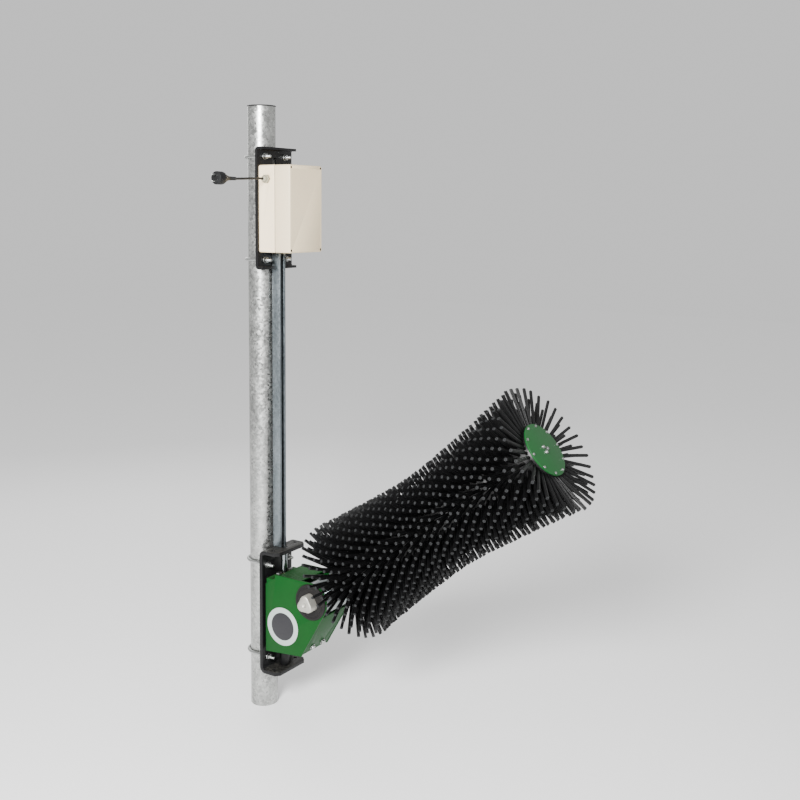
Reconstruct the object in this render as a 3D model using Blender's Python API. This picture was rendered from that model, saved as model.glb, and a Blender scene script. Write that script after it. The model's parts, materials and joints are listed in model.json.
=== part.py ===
"""Rotating cow brush on a round post.

A galvanised post carries a control box high up and, low down, a folded bracket with a vertical pin. A
welded housing swings on the pin. Across its nose lies a rubber torsion unit, which holds the arm of the
brush, and the brush turns on a geared motor inside its core. The origin is the centre of the post's lower
end, +X points out of the brackets, +Z is up.
"""

import math

import bmesh
import bpy
from mathutils import Matrix, Vector

GAP = 0.0003  # between pieces that touch
RUN = 0.0006  # between pieces that move past each other

# Post
POST_R = 0.04445
POST_WALL = 0.0036
POST_H = 1.966
POST_SIDES = 40
CAP_LIP = 0.0018
CAP_PLATE = 0.0035
CAP_SPIGOT = 0.022

# U-bolts with their nuts
ROD_R = 0.005
ROD_HOLE_PLAY = 0.0005
ROD_END = 0.026  # beyond the face of the bracket
NUT_FLATS = 0.016
NUT_H = 0.008
WASHER_R = 0.010
WASHER_T = 0.002
ROD_STEPS = 12

# Upper bracket, which carries the control box
UPPER_T = 0.008
UPPER_HALF_W = 0.086
UPPER_BELOW = 0.0541  # beyond the bottom of the box
UPPER_ABOVE = 0.0566  # beyond the top of the box
UPPER_FLANGE = 0.027
UPPER_BEND = 0.012
UPPER_BOLT_INSET = 0.029  # U-bolt to the outer face of a flange
UPPER_SLOT_W = 0.019
UPPER_SLOT_INSET = 0.024

# Lower bracket, which carries the brush
LOWER_T = 0.012
LOWER_HALF_W = 0.0763
LOWER_LOW = 0.1367
LOWER_HIGH = 0.5462
LOWER_FLANGE = 0.0745
LOWER_BEND = 0.020
LOWER_CHAMFER = 0.014
LOWER_BOLT_INSET_TOP = 0.053
LOWER_BOLT_INSET_LOW = 0.047
FLANGE_HOLE_R = 0.0055
FLANGE_HOLE_Y = 0.056

# Cable channel between the brackets
CHANNEL_W = 0.030
CHANNEL_D = 0.030
CHANNEL_WALL = 0.0025
CHANNEL_LIP = 0.008
CHANNEL_SCREW_R = 0.003
CHANNEL_SCREW_DROP = 0.0365  # below the box
CHANNEL_SCREW_HEAD_R = 0.0055
CHANNEL_SCREW_HEAD = 0.0035

# Control box
BOX_HALF_W = 0.082
BOX_DROP = 0.187  # below the top of the post
BOX_H = 0.2713
BOX_HIGH = POST_H - BOX_DROP
BOX_LOW = BOX_HIGH - BOX_H
UPPER_HIGH = BOX_HIGH + UPPER_ABOVE
UPPER_LOW = BOX_LOW - UPPER_BELOW
BASE_D = 0.066
LID_D = 0.059
GASKET_T = 0.001
BOX_WALL = 0.003
BOX_ROUND = 0.006
BOX_PILLAR = 0.016
GROOVE_INSET = 0.012
GROOVE_W = 0.0025
GROOVE_DEEP = 0.001
LID_SCREW_R = 0.0038
LID_SCREW_H = 0.003
BOX_BOLT_R = 0.003
BOX_BOLT_HEAD_R = 0.0055
BOX_BOLT_HEAD = 0.004
BOX_BOLT_Y = 0.060
BOX_BOLT_INSET = 0.032
BOARD_W = 0.090
BOARD_H = 0.150
BOARD_T = 0.004
RELAY_D = 0.038

# Gland, mains cord and plug
GLAND_X_IN = 0.036  # from the back of the box
GLAND_DROP = 0.043  # below the top of the box
GLAND_FLATS = 0.024
GLAND_NUT = 0.009
GLAND_R = 0.0095
GLAND_DOME = 0.011
GLAND_THREAD_R = 0.008
CORD_R = 0.0035
CORD_POINTS = ((0.0, 0.0), (0.028, -0.0002), (0.056, -0.0010), (0.084, -0.0022), (0.112, -0.0033), (0.130, -0.0037))
CORD_STEPS = 4
BOOT_L = 0.052
BOOT_R = 0.0062
PLUG_R = 0.0195
PLUG_L = 0.034
PLUG_PITCH = 0.019
PIN_R = 0.0024
PIN_L = 0.019

# Housing that swings on the vertical pin
PIVOT_X = 0.0865
PIN_RADIUS = 0.010
PIN_SUNK = 0.002  # below the faces of the flanges
BUSH_WALL = 0.003
BUSH_FLANGE = 0.003
SPACER_R = 0.017
SWING_DEG = 7.0
PLATE_T = 0.005
HOUSING_HALF_W = 0.071
HOUSING_REAR_X = 0.0665
HOUSING_REAR_LOW = 0.2135
HOUSING_REAR_HIGH = 0.4383
HOUSING_TOE_X = 0.2104
HOUSING_TOE_Z = 0.2262
SHOULDER_X = 0.105
SHOULDER_Z = 0.4624
ROOF_START_X = 0.1135
ROOF_END_X = 0.206
ROOF_DROP = 0.002
PANEL_T = 0.004
PANEL_INSET = 0.002  # from the edges of the side plates
FLOOR_T = 0.008
HINGE_FRONT_X = 0.1045
HINGE_BLOCK_T = 0.024
HINGE_BLOCK_TOP = 0.456
HINGE_BOLT_Y = 0.0275
HINGE_BOLT_FLATS = 0.017
HINGE_BOLT_HEAD = 0.0105
HINGE_BOLT_R = 0.006
HINGE_BOLT_L = 0.018
DISC_R = 0.062
DISC_T = 0.0012
DISC_X = 0.1368
DISC_Z = 0.3095
COVER_SCREW_FLATS = 0.0121
COVER_SCREW_H = 0.005
COVER_SCREW_SHANK = 0.003
COVER_SCREW_Y = 0.027
COVER_SCREW_UP = 0.024
COVER_FROM = 0.004
COVER_SHORT = 0.0175  # of the nose
COVER_SUNK = 0.001  # behind the edges of the side plates
STRAP_W = 0.022

# Torsion unit across the nose
TILT_X = 0.2505
TILT_Z = 0.414
NOSE_R = 0.0600
HUB_R = 0.0560
BUSH_R = 0.0450
RUBBER_R = 0.0575
RUBBER_T = 0.006
BAR_R = 0.0262
BAR_LOBE = 0.14
BAR_END = 0.030  # beyond the rubber
BAR_ROUND = 0.003

# Brush, along an axis that leaves the torsion unit upwards
BRUSH_DEG = 37.0
NECK_R = 0.038
MOTOR_PLATE_FROM = 0.098
MOTOR_PLATE_T = 0.010
MOTOR_PLATE_R = 0.064
MOTOR_R = 0.0560
MOTOR_L = 0.300
SHAFT_R = 0.0125
BEARING_T = 0.016
CORE_FROM = 0.122
CORE_WALL = 0.004
CORE_R = 0.0680
HUB_PLATE_T = 0.012
HUB_PLATE_BACK = 0.030  # from the end disc
DISC_END = 0.952  # outer face of the end disc, from the torsion axis
END_DISC_R = 0.081
END_DISC_T = 0.005
RIM_BOLTS = 10
RIM_BOLT_R = 0.0742
BOLT_HEAD_R = 0.0042
BOLT_HEAD_H = 0.003
CENTRE_BOLTS = 3
CENTRE_BOLT_R = 0.0095
CENTRE_HEAD_R = 0.0055
CENTRE_HEAD_H = 0.005
SEGMENTS = 5
ROWS = 5  # of tufts on each segment
COLUMNS = 24
ROW_TURN = 2  # columns by which a segment's last row is further round than its first
SEGMENT_WALL = 0.007
TUFT_W = 0.008
TIP_R_END = 0.200
TIP_R_WAIST = 0.158
LEAN_DEG = 14.0

PARTS = None
CUTTERS = None


def material(name, colour, roughness, metallic=0.0):
    """Principled material with one colour."""
    made = bpy.data.materials.new(name)
    made.use_nodes = True
    shader = made.node_tree.nodes["Principled BSDF"]
    shader.inputs["Base Color"].default_value = (*colour, 1.0)
    shader.inputs["Roughness"].default_value = roughness
    shader.inputs["Metallic"].default_value = metallic
    return made


def around(radius, sides, play=GAP):
    """Corner radius of a hole with flat sides that clears a round piece."""
    return (radius + play) / math.cos(math.pi / sides)


def frame_at(origin, axis, side):
    """Placement whose local Z runs along axis and whose local X runs along side."""
    z = Vector(axis).normalized()
    x = Vector(side).normalized()
    place = Matrix((x, z.cross(x), z)).transposed().to_4x4()
    place.translation = origin
    return place


def upright(x=0.0, y=0.0, z=0.0):
    return frame_at((x, y, z), (0, 0, 1), (1, 0, 0))


def facing_x(x, y, z):
    return frame_at((x, y, z), (1, 0, 0), (0, 1, 0))


def section_xz(y=0.0):
    """Local X and Y lie along the world's X and Z, local Z points to -Y."""
    return frame_at((0, y, 0), (0, -1, 0), (1, 0, 0))


def finish_object(name, mesh, place, finish):
    """Named object in the parts' collection, or a wire cutter where it has no finish."""
    made = bpy.data.objects.new(name, mesh)
    made.matrix_world = place
    if finish is None:
        CUTTERS.objects.link(made)
        made.hide_render = True
        made.display_type = "WIRE"
        return made
    PARTS.objects.link(made)
    mesh.materials.clear()
    mesh.materials.append(finish)
    mesh.shade_smooth()
    mesh.set_sharp_from_angle(angle=math.radians(35))
    return made


def ring_solid(name, rings, place, finish, sides=24, hollow=False):
    """Solid from rings of points (height, radius), where a radius may be a function of the angle."""
    shape = bmesh.new()
    loops = []
    for height, radius in rings:
        loop = []
        for k in range(sides):
            angle = 2 * math.pi * k / sides
            r = radius(angle) if callable(radius) else radius
            loop.append(shape.verts.new((r * math.cos(angle), r * math.sin(angle), height)))
        loops.append(loop)
    pairs = list(zip(loops, loops[1:]))
    if hollow:
        pairs.append((loops[-1], loops[0]))
    for low, high in pairs:
        for k in range(sides):
            n = (k + 1) % sides
            shape.faces.new((low[k], low[n], high[n], high[k]))
    if not hollow:
        shape.faces.new(reversed(loops[0]))
        shape.faces.new(loops[-1])
    bmesh.ops.recalc_face_normals(shape, faces=shape.faces)
    mesh = bpy.data.meshes.new(name)
    shape.to_mesh(mesh)
    shape.free()
    return finish_object(name, mesh, place, finish)


def sleeve(name, inner, outer, low, high, place, finish, sides=24):
    """Tube between two radii and two heights."""
    rings = [(low, inner), (low, outer), (high, outer), (high, inner)]
    return ring_solid(name, rings, place, finish, sides, hollow=True)


def block(name, low, high, finish, round_by=0.0, steps=3):
    """Box between two corners, with its edges rounded where asked."""
    shape = bmesh.new()
    bmesh.ops.create_cube(shape, size=1.0)
    size = [b - a for a, b in zip(low, high)]
    centre = [(a + b) / 2 for a, b in zip(low, high)]
    bmesh.ops.scale(shape, vec=size, verts=shape.verts)
    if round_by:
        bmesh.ops.bevel(
            shape, geom=shape.edges, offset=round_by, segments=steps, profile=0.5, affect="EDGES"
        )
    mesh = bpy.data.meshes.new(name)
    shape.to_mesh(mesh)
    shape.free()
    return finish_object(name, mesh, Matrix.Translation(centre), finish)


def mesh_of(curve_object, finish):
    """The curve's evaluated shape as a mesh object with welded caps; the curve is removed."""
    graph = bpy.context.evaluated_depsgraph_get()
    mesh = bpy.data.meshes.new_from_object(curve_object.evaluated_get(graph))
    shape = bmesh.new()
    shape.from_mesh(mesh)
    bmesh.ops.remove_doubles(shape, verts=shape.verts, dist=1e-6)
    bmesh.ops.recalc_face_normals(shape, faces=shape.faces)
    shape.to_mesh(mesh)
    shape.free()
    name = curve_object.name
    place = curve_object.matrix_world.copy()
    bpy.data.objects.remove(curve_object)
    return finish_object(name, mesh, place, finish)


def plate(name, outlines, thickness, place, finish):
    """Flat plate centred on its plane: the first outline is its edge and the others are holes."""
    curve = bpy.data.curves.new(name, "CURVE")
    curve.dimensions = "2D"
    curve.fill_mode = "BOTH"
    curve.extrude = thickness / 2
    for outline in outlines:
        spline = curve.splines.new("POLY")
        spline.points.add(len(outline) - 1)
        for point, (x, y) in zip(spline.points, outline):
            point.co = (x, y, 0, 1)
        spline.use_cyclic_u = True
    drawn = bpy.data.objects.new(name, curve)
    drawn.matrix_world = place
    bpy.context.scene.collection.objects.link(drawn)
    bpy.context.view_layer.update()
    return mesh_of(drawn, finish)


def rod(name, points, radius, finish):
    """Round bar or tube along points."""
    curve = bpy.data.curves.new(name, "CURVE")
    curve.dimensions = "3D"
    curve.bevel_depth = radius
    curve.bevel_resolution = 2
    curve.use_fill_caps = True
    spline = curve.splines.new("POLY")
    spline.points.add(len(points) - 1)
    for point, place in zip(spline.points, points):
        point.co = (*place, 1)
    drawn = bpy.data.objects.new(name, curve)
    bpy.context.scene.collection.objects.link(drawn)
    bpy.context.view_layer.update()
    return mesh_of(drawn, finish)


def circle(x, y, radius, sides=20):
    return [
        (x + radius * math.cos(2 * math.pi * k / sides), y + radius * math.sin(2 * math.pi * k / sides))
        for k in range(sides)
    ]


def filleted(corners, steps=5):
    """Outline from corners (x, y, fillet radius), each fillet an arc."""
    outline = []
    for k, (x, y, radius) in enumerate(corners):
        if not radius:
            outline.append((x, y))
            continue
        here = Vector((x, y))
        back = (Vector(corners[k - 1][:2]) - here).normalized()
        on = (Vector(corners[(k + 1) % len(corners)][:2]) - here).normalized()
        half = back.angle(on) / 2
        centre = here + (back + on).normalized() * radius / math.sin(half)
        start = here + back * radius / math.tan(half) - centre
        end = here + on * radius / math.tan(half) - centre
        turn = start.angle_signed(end)
        for step in range(steps + 1):
            spoke = start.copy()
            spoke.rotate(Matrix.Rotation(-turn * step / steps, 2))
            outline.append(tuple(centre + spoke))
    return outline


def boolean(piece, tool, operation="DIFFERENCE"):
    """Live Boolean with a tool, which becomes a cutter."""
    change = piece.modifiers.new(tool.name, "BOOLEAN")
    change.operation = operation
    change.solver = "EXACT"
    change.object = tool
    if tool.name in PARTS.objects:
        PARTS.objects.unlink(tool)
        CUTTERS.objects.link(tool)
    tool.hide_render = True
    tool.display_type = "WIRE"
    return piece


def drill(piece, name, place, radius, length, sides=16):
    """Round hole whose cutter is centred on a placement."""
    cutter = ring_solid(name, [(-length / 2, radius), (length / 2, radius)], place, None, sides)
    return boolean(piece, cutter)


def mill(piece, name, low, high):
    """Square cut between two corners."""
    return boolean(piece, block(name, low, high, None))


def hexagon(flats):
    """Radius of a hexagon by angle, sampled by 12 points."""
    return lambda angle: flats / 2 / math.cos(angle % (math.pi / 3) - math.pi / 6)


def carry(pieces, axis):
    """Parent pieces to the empty on their joint's axis, where they stand."""
    for piece in pieces:
        piece.parent = axis
        piece.matrix_parent_inverse = axis.matrix_world.inverted()


def joint_axis(name, place):
    made = bpy.data.objects.new(name, None)
    made.empty_display_size = 0.05
    made.matrix_world = place
    PARTS.objects.link(made)
    return made


def make_post(zinc, plastic):
    """Tube of the post, open below, and the plug that closes its top."""
    inner = POST_R - POST_WALL
    sleeve("post", inner, POST_R, 0, POST_H, upright(), zinc, POST_SIDES)
    spigot = inner * math.cos(math.pi / POST_SIDES) - GAP
    lip = POST_R + CAP_LIP
    rings = [
        (POST_H - CAP_SPIGOT, spigot),
        (POST_H + GAP, spigot),
        (POST_H + GAP, lip),
        (POST_H + CAP_PLATE * 0.7, lip),
        (POST_H + CAP_PLATE, lip - 0.002),
    ]
    ring_solid("post_cap", rings, upright(), plastic, POST_SIDES)


def u_bolt_y():
    """Distance of a U-bolt's legs from the middle of the post."""
    return (POST_R + ROD_R + GAP) / math.cos(math.pi / ROD_STEPS / 2)


def make_u_bolt(number, z, face_x, zinc):
    """Bent bar round the back of the post, through a bracket, with a nut and washer on each leg."""
    half = u_bolt_y()
    bend = [
        (-half * math.sin(math.pi * k / ROD_STEPS), -half * math.cos(math.pi * k / ROD_STEPS), z)
        for k in range(ROD_STEPS + 1)
    ]
    end = face_x + ROD_END
    rod(f"u_bolt_{number}", [(end, -half, z), *bend, (end, half, z)], ROD_R, zinc)
    bore = around(ROD_R, 12)
    top = GAP + WASHER_T + NUT_H
    rings = [
        (GAP, bore),
        (GAP, WASHER_R),
        (GAP + WASHER_T, WASHER_R),
        (GAP + WASHER_T, hexagon(NUT_FLATS)),
        (top, hexagon(NUT_FLATS)),
        (top, bore),
    ]
    for side, y in (("left", -half), ("right", half)):
        ring_solid(f"u_bolt_nut_{number}_{side}", rings, facing_x(face_x, y, z), zinc, 12, hollow=True)


def c_section(back, depth, low, high, thickness, bend):
    """Outline of a plate folded to a C that opens to +X."""
    front = back + depth
    inner = bend - thickness if bend > thickness else thickness * 0.3
    return filleted(
        [
            (front, low, 0),
            (back, low, bend),
            (back, high, bend),
            (front, high, 0),
            (front, high - thickness, 0),
            (back + thickness, high - thickness, inner),
            (back + thickness, low + thickness, inner),
            (front, low + thickness, 0),
        ]
    )


def plate_back():
    """Where the back of both brackets lies: against the post."""
    return POST_R + GAP


def upper_face():
    return plate_back() + UPPER_T


def lower_face():
    return plate_back() + LOWER_T


def upper_bolt_heights():
    return UPPER_HIGH - UPPER_BOLT_INSET, UPPER_LOW + UPPER_BOLT_INSET


def lower_bolt_heights():
    return LOWER_HIGH - LOWER_BOLT_INSET_TOP, LOWER_LOW + LOWER_BOLT_INSET_LOW


def leg_holes(bracket, heights, thickness):
    """Holes for the legs of the U-bolts."""
    for row, z in enumerate(heights):
        for side in (-1, 1):
            drill(
                bracket,
                f"{bracket.name}_leg_hole_{row}_{side}",
                facing_x(plate_back() + thickness / 2, side * u_bolt_y(), z),
                around(ROD_R, 16, ROD_HOLE_PLAY),
                3 * thickness,
            )


def make_upper_bracket(black):
    """Shallow folded plate with a slot up its middle."""
    outline = c_section(plate_back(), UPPER_FLANGE, UPPER_LOW, UPPER_HIGH, UPPER_T, UPPER_BEND)
    bracket = plate("upper_bracket", [outline], 2 * UPPER_HALF_W, section_xz(), black)
    leg_holes(bracket, upper_bolt_heights(), UPPER_T)
    back = plate_back()
    slot_low = UPPER_LOW + UPPER_T + UPPER_SLOT_INSET
    slot_high = UPPER_HIGH - UPPER_T - UPPER_SLOT_INSET
    mill(
        bracket,
        "upper_slot",
        (back - UPPER_T, -UPPER_SLOT_W / 2, slot_low),
        (upper_face() + UPPER_T / 2, UPPER_SLOT_W / 2, slot_high),
    )
    notch = CHANNEL_W / 2 + RUN
    mill(
        bracket,
        "channel_notch",
        (upper_face(), -notch, UPPER_LOW - UPPER_T),
        (back + 2 * UPPER_FLANGE, notch, UPPER_LOW + 2 * UPPER_T),
    )
    for corner, (y, z) in enumerate(box_bolt_places()):
        drill(
            bracket,
            f"box_bolt_hole_{corner}",
            facing_x(back + UPPER_T / 2, y, z),
            around(BOX_BOLT_R, 12),
            2 * UPPER_T,
            12,
        )
    return bracket


def make_lower_bracket(black):
    """Deep folded plate with the seats of the pin in its flanges."""
    outline = c_section(plate_back(), LOWER_FLANGE, LOWER_LOW, LOWER_HIGH, LOWER_T, LOWER_BEND)
    bracket = plate("lower_bracket", [outline], 2 * LOWER_HALF_W, section_xz(), black)
    leg_holes(bracket, lower_bolt_heights(), LOWER_T)
    height = LOWER_HIGH - LOWER_LOW
    middle = (LOWER_HIGH + LOWER_LOW) / 2
    drill(bracket, "pin_hole", upright(PIVOT_X, 0, middle), around(PIN_RADIUS, 20), 2 * height, 20)
    front = plate_back() + LOWER_FLANGE
    for side in (-1, 1):
        drill(
            bracket,
            f"flange_hole_{side}",
            upright(PIVOT_X, side * FLANGE_HOLE_Y, middle),
            FLANGE_HOLE_R,
            2 * height,
            12,
        )
        corner = ring_solid(
            f"flange_chamfer_{side}",
            [(-height, LOWER_CHAMFER), (height, LOWER_CHAMFER)],
            upright(front, side * LOWER_HALF_W, middle),
            None,
            4,
        )
        boolean(bracket, corner)
    return bracket


def make_channel(bracket, zinc, steel):
    """Lipped channel that stands on the lower bracket, screwed to the upper one just under the box."""
    back = upper_face() + GAP
    front = back + CHANNEL_D
    half = CHANNEL_W / 2
    mouth = half - CHANNEL_LIP
    wall = CHANNEL_WALL
    outline = [
        (back, -half),
        (front, -half),
        (front, -mouth),
        (front - wall, -mouth),
        (front - wall, -half + wall),
        (back + wall, -half + wall),
        (back + wall, half - wall),
        (front - wall, half - wall),
        (front - wall, mouth),
        (front, mouth),
        (front, half),
        (back, half),
    ]
    low = LOWER_HIGH + GAP
    high = BOX_LOW - GAP
    channel = plate("cable_channel", [outline], high - low, upright(z=(low + high) / 2), zinc)
    seat = facing_x(back + wall, 0, BOX_LOW - CHANNEL_SCREW_DROP)
    for piece in (channel, bracket):
        hole = f"channel_screw_hole_{piece.name}"
        drill(piece, hole, seat, around(CHANNEL_SCREW_R, 12), 3 * (UPPER_T + wall), 12)
    rings = [
        (-wall - UPPER_T, CHANNEL_SCREW_R),
        (GAP, CHANNEL_SCREW_R),
        (GAP, CHANNEL_SCREW_HEAD_R),
        (CHANNEL_SCREW_HEAD, CHANNEL_SCREW_HEAD_R),
    ]
    ring_solid("channel_screw", rings, seat, steel, 12)


def box_bolt_places():
    """Middle points (y, z) of the four bolts that hold the box on the bracket."""
    return [
        (side * BOX_BOLT_Y, z)
        for z in (BOX_LOW + BOX_BOLT_INSET, BOX_HIGH - BOX_BOLT_INSET)
        for side in (-1, 1)
    ]


def hollow_box(name, back, front, wall_low, wall_high, finish):
    """Half of the box: a tray with a solid pillar in each corner."""
    tray = block(name, (back, -BOX_HALF_W, BOX_LOW), (front, BOX_HALF_W, BOX_HIGH), finish, BOX_ROUND)
    low = back + wall_low
    high = front + wall_high
    wide = BOX_HALF_W - BOX_WALL
    narrow = BOX_HALF_W - BOX_PILLAR
    mill(tray, f"{name}_hollow_wide", (low, -wide, BOX_LOW + BOX_PILLAR), (high, wide, BOX_HIGH - BOX_PILLAR))
    mill(tray, f"{name}_hollow_tall", (low, -narrow, BOX_LOW + BOX_WALL), (high, narrow, BOX_HIGH - BOX_WALL))
    return tray


def make_box(cream, grey, rubber, zinc, green_board):
    """Base, gasket and deep lid of the control box, its screws and what it holds."""
    back = upper_face() + GAP
    seam = back + BASE_D
    base = hollow_box("box_base", back, seam + BOX_ROUND, BOX_WALL, BOX_ROUND, cream)
    mill(
        base,
        "box_base_trim",
        (seam, -2 * BOX_HALF_W, BOX_LOW - BOX_HALF_W),
        (seam + 4 * BOX_ROUND, 2 * BOX_HALF_W, BOX_HIGH + BOX_HALF_W),
    )
    for row, z in enumerate((BOX_LOW + GROOVE_INSET, BOX_HIGH - GROOVE_INSET)):
        for side in (-1, 1):
            face = side * BOX_HALF_W
            mill(
                base,
                f"box_groove_{row}_{side}",
                (back + 2 * BOX_ROUND, face - GROOVE_DEEP, z - GROOVE_W / 2),
                (seam - BOX_ROUND, face + GROOVE_DEEP, z + GROOVE_W / 2),
            )
    gland_y = -BOX_HALF_W
    drill(
        base,
        "gland_hole",
        frame_at((back + GLAND_X_IN, gland_y, BOX_HIGH - GLAND_DROP), (0, -1, 0), (1, 0, 0)),
        around(GLAND_THREAD_R, 16),
        4 * BOX_WALL,
    )
    lid_back = seam + 2 * GAP + GASKET_T
    lid_front = lid_back + LID_D
    lid = block(
        "box_lid",
        (lid_back - BOX_ROUND, -BOX_HALF_W, BOX_LOW),
        (lid_front, BOX_HALF_W, BOX_HIGH),
        grey,
        BOX_ROUND,
    )
    mill(
        lid,
        "box_lid_trim",
        (lid_back - 4 * BOX_ROUND, -2 * BOX_HALF_W, BOX_LOW - BOX_HALF_W),
        (lid_back, 2 * BOX_HALF_W, BOX_HIGH + BOX_HALF_W),
    )
    wide = BOX_HALF_W - BOX_WALL
    narrow = BOX_HALF_W - BOX_PILLAR
    inside = lid_front - BOX_WALL
    mill(
        lid,
        "box_lid_hollow_wide",
        (lid_back - BOX_ROUND, -wide, BOX_LOW + BOX_PILLAR),
        (inside, wide, BOX_HIGH - BOX_PILLAR),
    )
    mill(
        lid,
        "box_lid_hollow_tall",
        (lid_back - BOX_ROUND, -narrow, BOX_LOW + BOX_WALL),
        (inside, narrow, BOX_HIGH - BOX_WALL),
    )
    inset = BOX_PILLAR / 2
    for corner, (y, z) in enumerate(
        (side * (BOX_HALF_W - inset), z) for z in (BOX_LOW + inset, BOX_HIGH - inset) for side in (-1, 1)
    ):
        place = facing_x(lid_front - LID_SCREW_H, y, z)
        drill(lid, f"lid_screw_seat_{corner}", place, around(LID_SCREW_R, 12), 2 * LID_SCREW_H, 12)
        rings = [(-LID_SCREW_H + GAP, LID_SCREW_R), (LID_SCREW_H - 0.0006, LID_SCREW_R)]
        ring_solid(f"lid_screw_{corner + 1}", rings, place, zinc, 12)
    outer = filleted([(s * BOX_HALF_W, z, BOX_ROUND) for s, z in _corners()])
    inner = filleted([(s * (BOX_HALF_W - BOX_WALL), z, BOX_ROUND) for s, z in _corners(BOX_WALL)])
    plate(
        "lid_gasket",
        [outer, inner],
        GASKET_T,
        frame_at((seam + GAP + GASKET_T / 2, 0, 0), (1, 0, 0), (0, 1, 0)),
        rubber,
    )
    for corner, (y, z) in enumerate(box_bolt_places()):
        hole = facing_x(back, y, z)
        drill(base, f"box_base_hole_{corner}", hole, around(BOX_BOLT_R, 12), 4 * BOX_WALL, 12)
        rings = [
            (-GAP - UPPER_T, BOX_BOLT_R),
            (BOX_WALL + GAP, BOX_BOLT_R),
            (BOX_WALL + GAP, BOX_BOLT_HEAD_R),
            (BOX_WALL + GAP + BOX_BOLT_HEAD, BOX_BOLT_HEAD_R),
        ]
        ring_solid(f"box_bolt_{corner + 1}", rings, hole, zinc, 12)
    inner_x = back + BOX_WALL + GAP
    middle = (BOX_LOW + BOX_HIGH) / 2
    board = block(
        "control_board",
        (inner_x, -BOARD_W / 2, middle - BOARD_H / 2),
        (inner_x + BOARD_T, BOARD_W / 2, middle + BOARD_H / 2),
        green_board,
    )
    for number, z in enumerate((middle - BOARD_H / 4, middle + BOARD_H / 4)):
        relay = block(
            f"relay_{number}",
            (inner_x + BOARD_T / 2, -BOARD_W / 4, z - BOARD_H / 8),
            (inner_x + RELAY_D, BOARD_W / 4, z + BOARD_H / 8),
            grey,
        )
        boolean(board, relay, "UNION")


def _corners(inset=0.0):
    low = BOX_LOW + inset
    high = BOX_HIGH - inset
    return [(-1, low), (1, low), (1, high), (-1, high)]


def gland_point():
    """Where the gland stands on the side of the box."""
    return Vector((upper_face() + GAP + GLAND_X_IN, -BOX_HALF_W, BOX_HIGH - GLAND_DROP))


def smooth_route(points, steps):
    """Points along a smooth curve through the route's own points."""
    route = []
    for k in range(len(points) - 1):
        before = points[max(k - 1, 0)]
        after = points[min(k + 2, len(points) - 1)]
        for step in range(steps):
            t = step / steps
            weights = (
                (-t + 2 * t**2 - t**3) / 2,
                (2 - 5 * t**2 + 3 * t**3) / 2,
                (t + 4 * t**2 - 3 * t**3) / 2,
                (-(t**2) + t**3) / 2,
            )
            near = (before, points[k], points[k + 1], after)
            route.append(sum((w * p for w, p in zip(weights, near)), Vector()))
    return [*route, points[-1]]


def make_cord(light, black, steel):
    """Gland, mains cord and plug, which stand out from the side of the box."""
    base = gland_point()
    place = frame_at(base, (0, -1, 0), (1, 0, 0))
    top = GAP + GLAND_NUT + GLAND_DOME
    bore = around(CORD_R, 12)
    rings = [
        (-2 * BOX_WALL, bore),
        (-2 * BOX_WALL, GLAND_THREAD_R),
        (GAP, GLAND_THREAD_R),
        (GAP, hexagon(GLAND_FLATS)),
        (GAP + GLAND_NUT, hexagon(GLAND_FLATS)),
        (GAP + GLAND_NUT, GLAND_R),
        (top - 0.004, GLAND_R),
        (top, GLAND_R - 0.004),
        (top, bore),
    ]
    ring_solid("cable_gland", rings, place, light, 12, hollow=True)
    exit_point = base + Vector((0, -top + 0.006, 0))
    points = [exit_point + Vector((0, -along, down)) for along, down in CORD_POINTS]
    rod("mains_cord", smooth_route(points, CORD_STEPS), CORD_R, black)
    boot = points[-1] + Vector((0, -GAP, 0))
    place = frame_at(boot, (0, -1, 0), (1, 0, 0))
    rings = [
        (0, BOOT_R * 0.85),
        (BOOT_L * 0.55, BOOT_R),
        (BOOT_L * 0.8, BOOT_R * 1.6),
        (BOOT_L, PLUG_R * 0.72),
        (BOOT_L + PLUG_L * 0.3, PLUG_R),
        (BOOT_L + PLUG_L, PLUG_R),
    ]
    ring_solid("plug_body", rings, place, black, 20)
    for number, side in enumerate((-1, 1)):
        rings = [
            (BOOT_L + PLUG_L + GAP, PIN_R),
            (BOOT_L + PLUG_L + PIN_L * 0.9, PIN_R),
            (BOOT_L + PLUG_L + PIN_L, PIN_R * 0.6),
        ]
        offset = Matrix.Translation((0, side * PLUG_PITCH / 2, 0))
        ring_solid(f"plug_pin_{number + 1}", rings, place @ offset, steel, 10)


def nose_tangent():
    """Where the front edge of a side plate leaves the nose, and its direction down to the toe."""
    centre = Vector((TILT_X, TILT_Z))
    toe = Vector((HOUSING_TOE_X, HOUSING_TOE_Z))
    reach = centre - toe
    slope = math.atan2(reach.y, reach.x) - math.asin(NOSE_R / reach.length)
    along = Vector((math.cos(slope), math.sin(slope)))
    return toe + along * math.sqrt(reach.length**2 - NOSE_R**2), along


def side_outline():
    """Outline (x, z) of a side plate, with a round nose about the torsion axis."""
    tangent, _ = nose_tangent()
    end = math.atan2(tangent.y - TILT_Z, tangent.x - TILT_X)
    start = math.pi / 2
    steps = 14
    nose = [
        (
            TILT_X + NOSE_R * math.cos(start + (end - start) * k / steps),
            TILT_Z + NOSE_R * math.sin(start + (end - start) * k / steps),
        )
        for k in range(steps + 1)
    ]
    return [
        (HOUSING_REAR_X, HOUSING_REAR_HIGH),
        (SHOULDER_X, SHOULDER_Z),
        (SHOULDER_X, TILT_Z + NOSE_R - ROOF_DROP),
        (ROOF_START_X, TILT_Z + NOSE_R),
        *nose,
        (HOUSING_TOE_X, HOUSING_TOE_Z),
        (HOUSING_REAR_X, HOUSING_REAR_LOW),
    ]


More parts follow.
